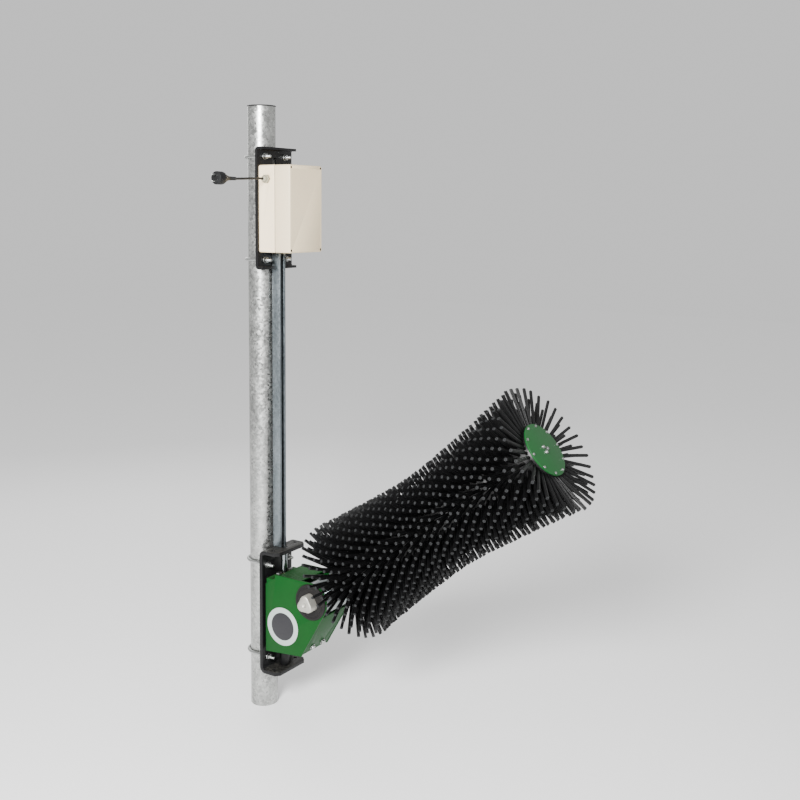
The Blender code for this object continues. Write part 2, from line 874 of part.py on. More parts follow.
def cover_frame():
    """Placement on the front cover's outer face, X up it and Z out of it, and the way to the nose."""
    tangent, along = nose_tangent()
    out = Vector((along.y, -along.x))
    toe = Vector((HOUSING_TOE_X, HOUSING_TOE_Z))
    face = toe - out * COVER_SUNK
    return frame_at((face.x, 0, face.y), (out.x, 0, out.y), (along.x, 0, along.y)), (tangent - toe).length


def make_housing(green, zinc, brass, pale, steel):
    """Welded housing, its cover, its bushes on the pin, and the plain disc on its side."""
    inner = HOUSING_HALF_W - PLATE_T
    bore = circle(TILT_X, TILT_Z, around(BUSH_R, 28, RUN), 28)
    middle = HOUSING_HALF_W - PLATE_T / 2
    shell = plate("housing_shell", [side_outline(), bore], PLATE_T, section_xz(-middle), green)
    far = plate("side_plate_far", [side_outline(), bore], PLATE_T, section_xz(middle), green)
    boolean(shell, far, "UNION")
    sunk = inner + PLATE_T / 2
    roof_top = TILT_Z + NOSE_R - ROOF_DROP
    roof = block("roof", (ROOF_START_X, -sunk, roof_top - PANEL_T), (ROOF_END_X, sunk, roof_top), green)
    boolean(shell, roof, "UNION")
    rear = HOUSING_REAR_X + PANEL_INSET
    front = HOUSING_TOE_X - 3 * PANEL_INSET
    low = HOUSING_REAR_LOW + PANEL_INSET / 2
    rise = HOUSING_TOE_Z - HOUSING_REAR_LOW
    outline = [(rear, low), (front, low + rise), (front, low + rise + FLOOR_T), (rear, low + FLOOR_T)]
    boolean(shell, plate("floor", [outline], 2 * sunk, section_xz(), green), "UNION")
    hinge = block(
        "hinge_block",
        (rear, -sunk, HINGE_BLOCK_TOP - HINGE_BLOCK_T),
        (HINGE_FRONT_X, sunk, HINGE_BLOCK_TOP),
        green,
    )
    boolean(shell, hinge, "UNION")
    bush_outer = PIN_RADIUS + BUSH_WALL
    tall = 2 * (HINGE_BLOCK_TOP - HOUSING_REAR_LOW)
    drill(shell, "bush_bore", upright(PIVOT_X, 0, HINGE_BLOCK_TOP), around(bush_outer, 20), 2 * tall, 20)
    for side, name in ((-1, "left"), (1, "right")):
        drill(
            shell,
            f"hinge_bolt_hole_{name}",
            upright(PIVOT_X, side * HINGE_BOLT_Y, HINGE_BLOCK_TOP),
            around(HINGE_BOLT_R, 12),
            2 * (HINGE_BOLT_L + 2 * GAP),
            12,
        )
        rings = [
            (-HINGE_BOLT_L, HINGE_BOLT_R),
            (GAP, HINGE_BOLT_R),
            (GAP, hexagon(HINGE_BOLT_FLATS)),
            (HINGE_BOLT_HEAD, hexagon(HINGE_BOLT_FLATS)),
        ]
        ring_solid(
            f"hinge_bolt_{name}",
            rings,
            upright(PIVOT_X, side * HINGE_BOLT_Y, HINGE_BLOCK_TOP),
            zinc,
            12,
        )
    bore_r = around(PIN_RADIUS, 20)
    flange_r = bush_outer + BUSH_FLANGE
    top = HINGE_BLOCK_TOP
    rings = [
        (-HINGE_BLOCK_T, bore_r),
        (-HINGE_BLOCK_T, bush_outer),
        (GAP, bush_outer),
        (GAP, flange_r),
        (BUSH_FLANGE, flange_r),
        (BUSH_FLANGE, bore_r),
    ]
    ring_solid("hinge_bush_upper", rings, upright(PIVOT_X, 0, top), brass, 20, hollow=True)
    rings = [
        (-BUSH_FLANGE, bore_r),
        (-BUSH_FLANGE, flange_r),
        (-GAP, flange_r),
        (-GAP, bush_outer),
        (FLOOR_T + PANEL_INSET, bush_outer),
        (FLOOR_T + PANEL_INSET, bore_r),
    ]
    ring_solid(
        "hinge_bush_lower", rings, upright(PIVOT_X, 0, HOUSING_REAR_LOW), brass, 20, hollow=True
    )
    frame, reach = cover_frame()
    half = inner - GAP
    top = reach - COVER_SHORT
    corners = [(COVER_FROM, -half), (top, -half), (top, half), (COVER_FROM, half)]
    cover = plate(
        "front_cover",
        [filleted([(x, y, PANEL_INSET) for x, y in corners], 3)],
        PANEL_T,
        frame @ Matrix.Translation((0, 0, -PANEL_T / 2)),
        green,
    )
    for side, name in ((-1, "left"), (1, "right")):
        seat = frame @ Matrix.Translation((COVER_SCREW_UP, side * COVER_SCREW_Y, 0))
        drill(cover, f"cover_hole_{name}", seat, around(COVER_SCREW_SHANK, 12), 3 * PANEL_T, 12)
        rings = [
            (-2 * PANEL_T - 4 * GAP, COVER_SCREW_SHANK),
            (GAP, COVER_SCREW_SHANK),
            (GAP, hexagon(COVER_SCREW_FLATS)),
            (COVER_SCREW_H, hexagon(COVER_SCREW_FLATS)),
        ]
        ring_solid(f"cover_screw_{name}", rings, seat, zinc, 12)
    strap_z = -PANEL_T - GAP
    near = COVER_SCREW_UP - STRAP_W / 2
    far_edge = COVER_SCREW_UP + STRAP_W / 2
    strap = plate(
        "cover_strap",
        [[(near, -sunk), (far_edge, -sunk), (far_edge, sunk), (near, sunk)]],
        PANEL_T,
        frame @ Matrix.Translation((0, 0, strap_z - PANEL_T / 2)),
        green,
    )
    boolean(shell, strap, "UNION")
    for side, name in ((-1, "left"), (1, "right")):
        seat = frame @ Matrix.Translation((COVER_SCREW_UP, side * COVER_SCREW_Y, strap_z))
        drill(shell, f"strap_hole_{name}", seat, around(COVER_SCREW_SHANK, 12), 4 * PANEL_T, 12)
    disc = ring_solid(
        "side_disc",
        [(GAP, DISC_R), (GAP + DISC_T, DISC_R)],
        frame_at((DISC_X, -HOUSING_HALF_W, DISC_Z), (0, -1, 0), (1, 0, 0)),
        pale,
        32,
    )
    return [
        shell,
        cover,
        disc,
        *(bpy.data.objects[f"hinge_bolt_{side}"] for side in ("left", "right")),
        *(bpy.data.objects[f"cover_screw_{side}"] for side in ("left", "right")),
        bpy.data.objects["hinge_bush_upper"],
        bpy.data.objects["hinge_bush_lower"],
    ]


def make_pin(steel, black):
    """Pin between the flanges of the lower bracket, and the spacer that bears the housing."""
    ring_solid(
        "pivot_pin",
        [(LOWER_LOW + PIN_SUNK, PIN_RADIUS), (LOWER_HIGH - PIN_SUNK, PIN_RADIUS)],
        upright(PIVOT_X),
        steel,
        20,
    )
    sleeve(
        "pivot_spacer",
        around(PIN_RADIUS, 20),
        SPACER_R,
        LOWER_LOW + LOWER_T + GAP,
        HOUSING_REAR_LOW - BUSH_FLANGE - RUN,
        upright(PIVOT_X),
        black,
        20,
    )


def lobed(radius, play=0.0):
    """Radius by angle of the torsion bar's rounded three-sided section."""
    return lambda angle: radius * (1 + BAR_LOBE * math.cos(3 * angle)) + play


def brush_frame():
    """Placement on the torsion axis whose local Z runs along the brush."""
    slope = math.radians(BRUSH_DEG)
    along = (math.cos(slope), 0, math.sin(slope))
    return frame_at((TILT_X, 0, TILT_Z), along, (0, 1, 0))


def make_torsion_unit(rubber, bright):
    """Bar with its two rubber bushes."""
    axis = frame_at((TILT_X, 0, TILT_Z), (0, -1, 0), (0, 0, 1))
    face = HOUSING_HALF_W + RUN
    end = face + RUBBER_T + BAR_END
    rings = [
        (-end, lobed(BAR_R - BAR_ROUND)),
        (-end + BAR_ROUND, lobed(BAR_R)),
        (end - BAR_ROUND, lobed(BAR_R)),
        (end, lobed(BAR_R - BAR_ROUND)),
    ]
    pieces = [ring_solid("torsion_bar", rings, axis, bright, 30)]
    for side, name in ((1, "left"), (-1, "right")):
        rings = [
            (side * (hub_half() + GAP), lobed(BAR_R, GAP)),
            (side * (hub_half() + GAP), BUSH_R),
            (side * face, BUSH_R),
            (side * face, RUBBER_R),
            (side * (face + RUBBER_T * 0.7), RUBBER_R),
            (side * (face + RUBBER_T), RUBBER_R - 0.002),
            (side * (face + RUBBER_T), lobed(BAR_R, GAP)),
        ]
        pieces.append(ring_solid(f"rubber_bush_{name}", rings, axis, rubber, 30, hollow=True))
    return pieces


def hub_half():
    """Half the length of the hub, which fits between the side plates."""
    return HOUSING_HALF_W - PLATE_T - 2 * RUN


def make_arm(bright, black, steel, brass):
    """Hub on the torsion bar with the neck and plate of the arm, the geared motor and the bearing."""
    across = frame_at((TILT_X, 0, TILT_Z), (0, -1, 0), (0, 0, 1))
    half = hub_half()
    rings = [
        (-half, lobed(BAR_R, GAP)),
        (-half, HUB_R),
        (half, HUB_R),
        (half, lobed(BAR_R, GAP)),
    ]
    hub = ring_solid("arm_hub", rings, across, bright, 30, hollow=True)
    along = brush_frame()
    plate_end = MOTOR_PLATE_FROM + MOTOR_PLATE_T
    rings = [
        (HUB_R - 0.010, NECK_R),
        (MOTOR_PLATE_FROM, NECK_R),
        (MOTOR_PLATE_FROM, MOTOR_PLATE_R),
        (plate_end, MOTOR_PLATE_R),
    ]
    neck = ring_solid("arm_neck", rings, along, bright, 28)
    boolean(hub, neck, "UNION")
    motor_end = plate_end + GAP + MOTOR_L
    hub_plate = DISC_END - END_DISC_T - HUB_PLATE_BACK
    rings = [
        (plate_end + GAP, MOTOR_R),
        (motor_end - 0.010, MOTOR_R),
        (motor_end, MOTOR_R - 0.010),
        (motor_end, SHAFT_R * 1.8),
        (motor_end + 0.012, SHAFT_R * 1.8),
        (motor_end + 0.012, SHAFT_R),
        (hub_plate + HUB_PLATE_T, SHAFT_R),
    ]
    motor = ring_solid("gear_motor", rings, along, black, 24)
    bearing = sleeve(
        "core_bearing",
        around(MOTOR_R, 24),
        (CORE_R - CORE_WALL) * math.cos(math.pi / 24) - RUN,
        CORE_FROM,
        CORE_FROM + BEARING_T,
        along,
        brass,
        24,
    )
    return [hub, motor, bearing]


def tip_radius(share):
    """Distance of a tuft's tip from the axis: long at both ends of the brush and short in the middle."""
    return TIP_R_WAIST + (TIP_R_END - TIP_R_WAIST) * abs(2 * share - 1) ** 1.8


def lean(share):
    """Angle by which a tuft leans outwards, towards its own end of the brush."""
    return math.radians(LEAN_DEG) * math.copysign(abs(2 * share - 1) ** 1.5, 2 * share - 1)


def segment_outer():
    return CORE_R + GAP + SEGMENT_WALL


def make_segment(number, black):
    """Slip-on ring of the brush with rows of tufts, each row a little further round than the last."""
    start = CORE_FROM
    length = DISC_END - END_DISC_T - GAP - start
    step = length / SEGMENTS
    low = start + number * step + GAP / 2
    high = start + (number + 1) * step - GAP / 2
    row_h = (high - low) / ROWS
    outer = segment_outer()
    bore = around(CORE_R, COLUMNS)
    shape = bmesh.new()

    def loop(height, radius, turn):
        made = []
        for k in range(COLUMNS):
            angle = 2 * math.pi * (k + turn) / COLUMNS
            made.append(shape.verts.new((radius * math.cos(angle), radius * math.sin(angle), height)))
        return made

    loops = [loop(low + row * row_h, outer, row * ROW_TURN / ROWS) for row in range(ROWS + 1)]
    first = loop(low, bore, 0)
    last = loop(high, bore, ROW_TURN)
    for k in range(COLUMNS):
        n = (k + 1) % COLUMNS
        below = (k + ROW_TURN) % COLUMNS
        shape.faces.new((first[k], first[n], loops[0][n], loops[0][k]))
        shape.faces.new((loops[-1][k], loops[-1][n], last[n], last[k]))
        shape.faces.new((last[k], last[n], first[(below + 1) % COLUMNS], first[below]))
    for row in range(ROWS):
        for k in range(COLUMNS):
            n = (k + 1) % COLUMNS
            cell = (loops[row][k], loops[row][n], loops[row + 1][n], loops[row + 1][k])
            add_tuft(shape, cell, number * ROWS + row)
    bmesh.ops.recalc_face_normals(shape, faces=shape.faces)
    mesh = bpy.data.meshes.new(f"brush_segment_{number + 1}")
    shape.to_mesh(mesh)
    shape.free()
    return finish_object(f"brush_segment_{number + 1}", mesh, brush_frame(), black)


def add_tuft(shape, cell, row):
    """Fills a cell of the segment's surface with a frame and the tuft that grows out of it."""
    share = (row + 0.5) / (SEGMENTS * ROWS)
    centre = sum((corner.co for corner in cell), Vector()) / 4
    radial = Vector((centre.x, centre.y, 0)).normalized()
    round_by = Vector((0, 0, 1)).cross(radial)
    up = Vector((0, 0, 1))
    tilt = lean(share)
    way = radial * math.cos(tilt) + up * math.sin(tilt)
    reach = (tip_radius(share) - radial.dot(centre)) / math.cos(tilt)
    half = TUFT_W / 2
    corners = [(-half, -half), (half, -half), (half, half), (-half, half)]
    root = [shape.verts.new(centre + round_by * x + up * y) for x, y in corners]
    tip = [shape.verts.new(corner.co + way * reach) for corner in root]
    for k in range(4):
        n = (k + 1) % 4
        shape.faces.new((cell[k], cell[n], root[n], root[k]))
        shape.faces.new((root[k], root[n], tip[n], tip[k]))
    shape.faces.new(tip)


def make_core(zinc, green, steel):
    """Core tube, drive plate on the motor's shaft, and the end disc with its bolts."""
    along = brush_frame()
    disc_back = DISC_END - END_DISC_T
    core = sleeve(
        "core_tube", CORE_R - CORE_WALL, CORE_R, CORE_FROM - GAP, disc_back - GAP, along, zinc, 24
    )
    hub_low = disc_back - HUB_PLATE_BACK
    drive = sleeve(
        "drive_plate",
        around(SHAFT_R, 24),
        (CORE_R - CORE_WALL) * math.cos(math.pi / 24) - GAP,
        hub_low,
        hub_low + HUB_PLATE_T,
        along,
        steel,
        24,
    )
    rings = [
        (disc_back, END_DISC_R),
        (DISC_END - 0.001, END_DISC_R),
        (DISC_END, END_DISC_R - 0.001),
    ]
    disc = ring_solid("end_disc", rings, along, green, 36)
    heads = [
        (RIM_BOLT_R, 2 * math.pi * k / RIM_BOLTS, BOLT_HEAD_R, BOLT_HEAD_H, "rim") for k in range(RIM_BOLTS)
    ]
    heads += [
        (CENTRE_BOLT_R, 2 * math.pi * k / CENTRE_BOLTS, CENTRE_HEAD_R, CENTRE_HEAD_H, "centre")
        for k in range(CENTRE_BOLTS)
    ]
    for k, (ring, angle, radius, height, kind) in enumerate(heads):
        offset = Matrix.Translation((ring * math.cos(angle), ring * math.sin(angle), DISC_END))
        head = ring_solid(
            f"{kind}_bolt_{k}", [(-END_DISC_T / 2, radius), (height, radius)], along @ offset, steel, 8
        )
        boolean(disc, head, "UNION")
    return [core, drive, disc]


def main():
    global PARTS, CUTTERS
    for leftover in list(bpy.data.objects):
        bpy.data.objects.remove(leftover)
    PARTS = bpy.data.collections.new("rotating_cow_brush")
    CUTTERS = bpy.data.collections.new("cutters")
    bpy.context.scene.collection.children.link(PARTS)
    bpy.context.scene.collection.children.link(CUTTERS)

    zinc = material("galvanised steel", (0.56, 0.58, 0.58), 0.5, 0.9)
    bolt_zinc = material("zinc-plated fasteners", (0.62, 0.62, 0.6), 0.35, 1.0)
    bright = material("stainless steel", (0.68, 0.69, 0.7), 0.22, 1.0)
    brass = material("bronze bushes", (0.55, 0.4, 0.2), 0.4, 1.0)
    black = material("black powder coat", (0.022, 0.022, 0.023), 0.55)
    green = material("green paint", (0.03, 0.17, 0.045), 0.45)
    cream = material("cream plastic base", (0.8, 0.77, 0.7), 0.5)
    grey = material("warm grey plastic lid", (0.62, 0.59, 0.55), 0.5)
    light = material("light grey gland", (0.6, 0.6, 0.58), 0.5)
    rubber = material("black rubber", (0.02, 0.018, 0.019), 0.7)
    bristle = material("black bristle", (0.01, 0.01, 0.011), 0.35)
    pale = material("pale disc", (0.62, 0.66, 0.64), 0.5)
    board = material("circuit board", (0.03, 0.12, 0.05), 0.6)

    make_post(zinc, black)
    upper = make_upper_bracket(black)
    make_lower_bracket(black)
    heights = [(z, upper_face()) for z in upper_bolt_heights()] + [
        (z, lower_face()) for z in lower_bolt_heights()
    ]
    for number, (z, face) in enumerate(heights):
        make_u_bolt(number + 1, z, face, bolt_zinc)
    make_channel(upper, zinc, bolt_zinc)
    make_box(cream, grey, rubber, bolt_zinc, board)
    make_cord(light, rubber, bolt_zinc)
    make_pin(bright, black)

    swing = joint_axis("swing_axis", upright(PIVOT_X, 0, LOWER_LOW))
    carry(make_housing(green, bolt_zinc, brass, pale, bright), swing)
    tilt = joint_axis("tilt_axis", frame_at((TILT_X, 0, TILT_Z), (0, 1, 0), (1, 0, 0)))
    carry(make_torsion_unit(rubber, bright) + make_arm(bright, black, bright, brass), tilt)
    tilt.parent = swing
    tilt.matrix_parent_inverse = swing.matrix_world.inverted()
    spin = joint_axis("spin_axis", brush_frame())
    segments = [make_segment(number, bristle) for number in range(SEGMENTS)]
    carry(make_core(zinc, green, bolt_zinc) + segments, spin)
    spin.parent = tilt
    spin.matrix_parent_inverse = tilt.matrix_world.inverted()


main()
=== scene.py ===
"""Looks of a rotating cow brush on a round post.

Every sub-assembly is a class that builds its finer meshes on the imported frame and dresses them. Sizes are in
metres and repeat those of the solids, because the frame is fixed. +X points out of the brackets, +Z is up.
"""

import json
import logging
import math
from collections.abc import Callable, Iterable, Sequence
from dataclasses import dataclass, field
from enum import Enum
from typing import ClassVar

import bmesh
import bpy
from mathutils import Matrix, Vector

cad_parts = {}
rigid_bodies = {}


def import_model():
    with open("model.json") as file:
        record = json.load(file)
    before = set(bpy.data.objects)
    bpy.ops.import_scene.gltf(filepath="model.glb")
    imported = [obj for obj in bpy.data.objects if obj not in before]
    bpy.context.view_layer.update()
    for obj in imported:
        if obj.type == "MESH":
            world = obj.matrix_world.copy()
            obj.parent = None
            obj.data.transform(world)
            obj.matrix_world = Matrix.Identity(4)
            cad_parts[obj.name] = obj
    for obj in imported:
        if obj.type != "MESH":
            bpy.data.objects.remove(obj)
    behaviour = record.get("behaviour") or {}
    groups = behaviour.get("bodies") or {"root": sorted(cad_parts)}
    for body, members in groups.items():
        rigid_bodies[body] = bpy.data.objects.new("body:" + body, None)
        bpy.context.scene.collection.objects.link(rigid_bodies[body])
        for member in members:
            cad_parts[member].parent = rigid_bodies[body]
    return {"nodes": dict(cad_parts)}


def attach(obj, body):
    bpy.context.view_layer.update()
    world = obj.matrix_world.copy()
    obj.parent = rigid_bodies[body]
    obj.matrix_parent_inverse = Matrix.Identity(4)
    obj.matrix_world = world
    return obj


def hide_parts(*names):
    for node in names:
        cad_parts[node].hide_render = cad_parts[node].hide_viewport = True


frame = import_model()
LOG = logging.getLogger("cow_brush")

# Clearance that keeps a finer piece off its neighbour, and sizes that several sub-assemblies share.
GAP = 0.0003
MM = 0.001
POST_R = 0.04445
TILT = (0.2505, 0.0, 0.414)
DISC_CENTRE = (0.1368, -0.0719, 0.3095)

Tree = bpy.types.NodeTree
Node = bpy.types.Node
Socket = bpy.types.NodeSocket
Piece = bpy.types.Object
Shape = bmesh.types.BMesh
Radius = float | Callable[[float], float]
Ring = tuple[float, Radius]
Colour = tuple[float, float, float, float]


# Small tools


def linear(colour: str, factor: float = 1.0) -> Colour:
    """Turns an sRGB hex colour into the linear values that shaders take.

    Args:
        colour: Six hex digits, with or without a leading hash.
        factor: How much lighter or darker it becomes, up to full strength.

    Returns:
        Linear red, green, blue and an alpha of one.
    """
    digits = colour.lstrip("#")
    channels = [int(digits[k : k + 2], 16) / 255 for k in (0, 2, 4)]
    made = [c / 12.92 if c <= 0.04045 else ((c + 0.055) / 1.055) ** 2.4 for c in channels]
    red, green, blue = (min(c * factor, 1.0) for c in made)
    return (red, green, blue, 1.0)


def add_node(
    tree: Tree, kind: str, inputs: dict[str | int, object] | None = None, **settings: object
) -> Node:
    """Adds a node with its settings, its input values and its links.

    Args:
        tree: Material or geometry tree that receives the node.
        kind: Blender's identifier of the node.
        inputs: Values by socket name or number. An output socket makes a link, a node links its first
            output, and a list links each of its nodes.
        settings: Attributes of the node itself.

    Returns:
        The new node.
    """
    node = tree.nodes.new(kind)
    for key, value in settings.items():
        setattr(node, key, value)
    for key, value in (inputs or {}).items():
        for source in value if isinstance(value, list) else [value]:
            if isinstance(source, Node):
                source = source.outputs[0]
            if isinstance(source, Socket):
                tree.links.new(source, node.inputs[key])
            else:
                node.inputs[key].default_value = source
    return node


def frame_at(origin: Sequence[float], axis: Sequence[float], side: Sequence[float]) -> Matrix:
    """Placement whose own Z runs along axis and whose own X runs along side.

    Args:
        origin: Where the placement stands.
        axis: Direction of its Z.
        side: Direction of its X.

    Returns:
        The placement as a 4 by 4 matrix.
    """
    z = Vector(axis).normalized()
    x = Vector(side).normalized()
    place = Matrix((x, z.cross(x), z)).transposed().to_4x4()
    place.translation = Vector(origin)
    return place


def in_scene(name: str, data: bpy.types.ID) -> Piece:
    """Links a new object to the scene.

    Args:
        name: Name of the object.
        data: Its mesh, lamp or camera.

    Returns:
        The object, at the origin.
    """
    made = bpy.data.objects.new(name, data)
    bpy.context.scene.collection.objects.link(made)
    return made


def smooth(mesh: bpy.types.Mesh, sharp_deg: float) -> None:
    """Shades a mesh smooth, except across edges above the angle."""
    mesh.shade_smooth()
    mesh.set_sharp_from_angle(angle=math.radians(sharp_deg))


def shown(name: str, shape: Shape, place: Matrix | None = None, sharp_deg: float = 38.0) -> Piece:
    """Makes an object whose place is in its mesh, smooth except across sharp edges.

    Args:
        name: Name of the piece.
        shape: Its faces, in the placement's own axes.
        place: Where the piece stands, or nothing for a shape that is already in place.
        sharp_deg: Angle above which an edge stays sharp.

    Returns:
        The object, at the origin.
    """
    bmesh.ops.recalc_face_normals(shape, faces=shape.faces)
    mesh = bpy.data.meshes.new(name)
    shape.to_mesh(mesh)
    shape.free()
    mesh.transform(place or Matrix.Identity(4))
    smooth(mesh, sharp_deg)
    return in_scene(name, mesh)


def add_skin(shape: Shape, loops: Sequence[Sequence[bmesh.types.BMVert]], hollow: bool) -> None:
    """Adds the faces between loops of points.

    Args:
        shape: Mesh that receives the faces.
        loops: Loops of as many points each.
        hollow: True joins the last loop to the first, false caps both.
    """
    pairs = list(zip(loops, loops[1:]))
    if hollow:
        pairs.append((loops[-1], loops[0]))
    for low, high in pairs:
        for k in range(len(low)):
            n = (k + 1) % len(low)
            shape.faces.new((low[k], low[n], high[n], high[k]))
    if not hollow:
        shape.faces.new(reversed(loops[0]))
        shape.faces.new(loops[-1])


def add_turned(
    shape: Shape, rings: Sequence[Ring], sides: int, hollow: bool = False, place: Matrix | None = None
) -> None:
    """Adds a turned body to a mesh.

    Args:
        shape: Mesh that receives the faces.
        rings: Height and radius of each ring, where a radius may depend on the angle.
        sides: Number of points on a ring.
        hollow: True joins the last ring to the first, false caps both.
        place: Placement of the body inside the mesh.
    """
    move = place or Matrix.Identity(4)
    loops = []
    for height, radius in rings:
        loop = []
        for k in range(sides):
            angle = 2 * math.pi * k / sides
            r = radius(angle) if callable(radius) else radius
            loop.append(shape.verts.new(move @ Vector((r * math.cos(angle), r * math.sin(angle), height))))
        loops.append(loop)
    add_skin(shape, loops, hollow)


def turned(
    name: str, rings: Sequence[Ring], place: Matrix | None = None, sides: int = 64, hollow: bool = False
) -> Piece:
    """Makes one turned piece.

    Args:
        name: Name of the piece.
        rings: Height and radius of each ring.
        place: Placement whose Z is the turning axis.
        sides: Number of points on a ring.
        hollow: True for a tube, false for a bar.

    Returns:
        The piece.
    """
    shape = bmesh.new()
    add_turned(shape, rings, sides, hollow)
    return shown(name, shape, place)


def rounded(low: float, high: float, radius: float, edge: float, steps: int = 4) -> list[Ring]:
    """Profile of a bar with rounded rims.

    Args:
        low: Height of its lower end.
        high: Height of its upper end.
        radius: Its radius.
        edge: Radius of both rims.
        steps: Number of steps on a rim.

    Returns:
        Height and radius of each ring.
    """
    turns = [math.pi / 2 * k / steps for k in range(steps + 1)]
    start = [(low + edge * (1 - math.cos(t)), radius - edge * (1 - math.sin(t))) for t in turns]
    end = [(high - edge * (1 - math.cos(t)), radius - edge * (1 - math.sin(t))) for t in reversed(turns)]
    return [*start, *end]


def add_tube(shape: Shape, points: Sequence[Vector], radius: float, sides: int = 20) -> None:
    """Adds a closed tube along points, with a frame that doesn't twist.

    Args:
        shape: Mesh that receives the faces.
        points: Middle line of the tube.
        radius: Its radius.
        sides: Number of points round it.
    """
    last = len(points) - 1
    ways = [(points[min(k + 1, last)] - points[max(k - 1, 0)]).normalized() for k in range(last + 1)]
    start = Vector((0, 0, 1)) if abs(ways[0].z) < 0.9 else Vector((1, 0, 0))
    side = (start - ways[0] * start.dot(ways[0])).normalized()
    loops = []
    for point, way in zip(points, ways):
        side = (side - way * side.dot(way)).normalized()
        other = way.cross(side)
        angles = [2 * math.pi * k / sides for k in range(sides)]
        rim = [point + (side * math.cos(a) + other * math.sin(a)) * radius for a in angles]
        loops.append([shape.verts.new(spot) for spot in rim])
    add_skin(shape, loops, hollow=False)


def softened(node: str, name: str, edge: float, sharp_deg: float = 38.0) -> Piece:
    """Copies a frame node with its corners eased, as a folded, cut or moulded piece has them.

    Args:
        node: Name of the node.
        name: Name of the copy.
        edge: Width of the eased edge.
        sharp_deg: Angle above which an edge is eased.

    Returns:
        The copy, at the origin.
    """
    shape = bmesh.new()
    shape.from_mesh(frame["nodes"][node].data)
    bmesh.ops.remove_doubles(shape, verts=shape.verts, dist=2e-6)
    bmesh.ops.dissolve_limit(
        shape, angle_limit=math.radians(1), verts=shape.verts, edges=shape.edges, delimit={"NORMAL"}
    )
    least = math.radians(sharp_deg)
    hard = [e for e in shape.edges if len(e.link_faces) == 2 and e.calc_face_angle() > least]
    bmesh.ops.bevel(
        shape,
        geom=hard,
        offset=edge,
        offset_type="OFFSET",
        segments=2,
        profile=0.5,
        affect="EDGES",
        clamp_overlap=True,
    )
    mesh = bpy.data.meshes.new(name)
    shape.to_mesh(mesh)
    shape.free()
    smooth(mesh, 50)
    return in_scene(name, mesh)


def present(piece: Piece, finish: "Finish", body: str, nodes: Iterable[str] = ()) -> None:
    """Dresses a piece, lets it ride on its body and reports it.

    Args:
        piece: Finished mesh at the origin.
        finish: What its surface is.
        body: Body of the frame that it moves with.
        nodes: Frame nodes that it stands for.
    """
    piece.data.materials.clear()
    piece.data.materials.append(finish.material())
    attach(piece, body)
    names = list(nodes)
    if names:
        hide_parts(*names)
    LOG.info("%s: %d faces on %s", piece.name, len(piece.data.polygons), body)


def dress_node(node: str, finish: "Finish") -> None:
    """Gives a frame node that stays as it is a worked finish.

    Args:
        node: Name of the node.
        finish: What its surface is.
    """
    held = frame["nodes"][node]
    held.data.materials.clear()
    held.data.materials.append(finish.material())
    LOG.info("%s: dressed", node)


# Finishes


@dataclass(frozen=True)
class Finish:
    """A surface with a colour, a gloss and a relief of its own.

    Each kind of surface names its grains and adds its own pattern in the method weave.
    """

    name: str
    colour: str
    roughness: float
    metallic: float = 0.0
    relief: float = 0.1
    gloss_level: float = 0.5
    relief_mm: float = 0.4

    def grains(self) -> dict[str, tuple[float, float, float]]:
        """Size in millimetres, detail and roughness of each noise on the surface."""
        return {}

    def weave(self, tree: Tree, place: Socket, grain: dict[str, Node]) -> dict[str, Node]:
        """Builds the pattern of the surface.

        Args:
            tree: The material's nodes.
            place: Position on the piece.
            grain: The noises that the method grains names.

        Returns:
            Nodes for "Base Color", "Roughness" and "height", where the surface has them.
        """
        return {}

    def material(self) -> bpy.types.Material:
        """Makes the material once, and gives the same one after that.

        Returns:
            The material.
        """
        known = bpy.data.materials.get(self.name)
        if known is not None:
            return known
        made = bpy.data.materials.new(self.name)
        made.use_nodes = True
        tree = made.node_tree
        shader = tree.nodes["Principled BSDF"]
        shader.inputs["Base Color"].default_value = linear(self.colour)
        shader.inputs["Roughness"].default_value = self.roughness
        shader.inputs["Metallic"].default_value = self.metallic
        shader.inputs["Specular IOR Level"].default_value = self.gloss_level
        place = add_node(tree, "ShaderNodeTexCoord").outputs["Object"]
        grain = {
            key: add_node(
                tree,
                "ShaderNodeTexNoise",
                {"Vector": place, "Scale": 1 / (size * MM), "Detail": detail, "Roughness": rough},
            )
            for key, (size, detail, rough) in self.grains().items()
        }
        woven = self.weave(tree, place, grain)
        height = woven.pop("height", None)
        for key, node in woven.items():
            tree.links.new(node.outputs[0], shader.inputs[key])
        if height is not None:
            relief = {"Height": height, "Strength": self.relief, "Distance": self.relief_mm * MM}
            bump = add_node(tree, "ShaderNodeBump", relief)
            tree.links.new(bump.outputs["Normal"], shader.inputs["Normal"])
        return made


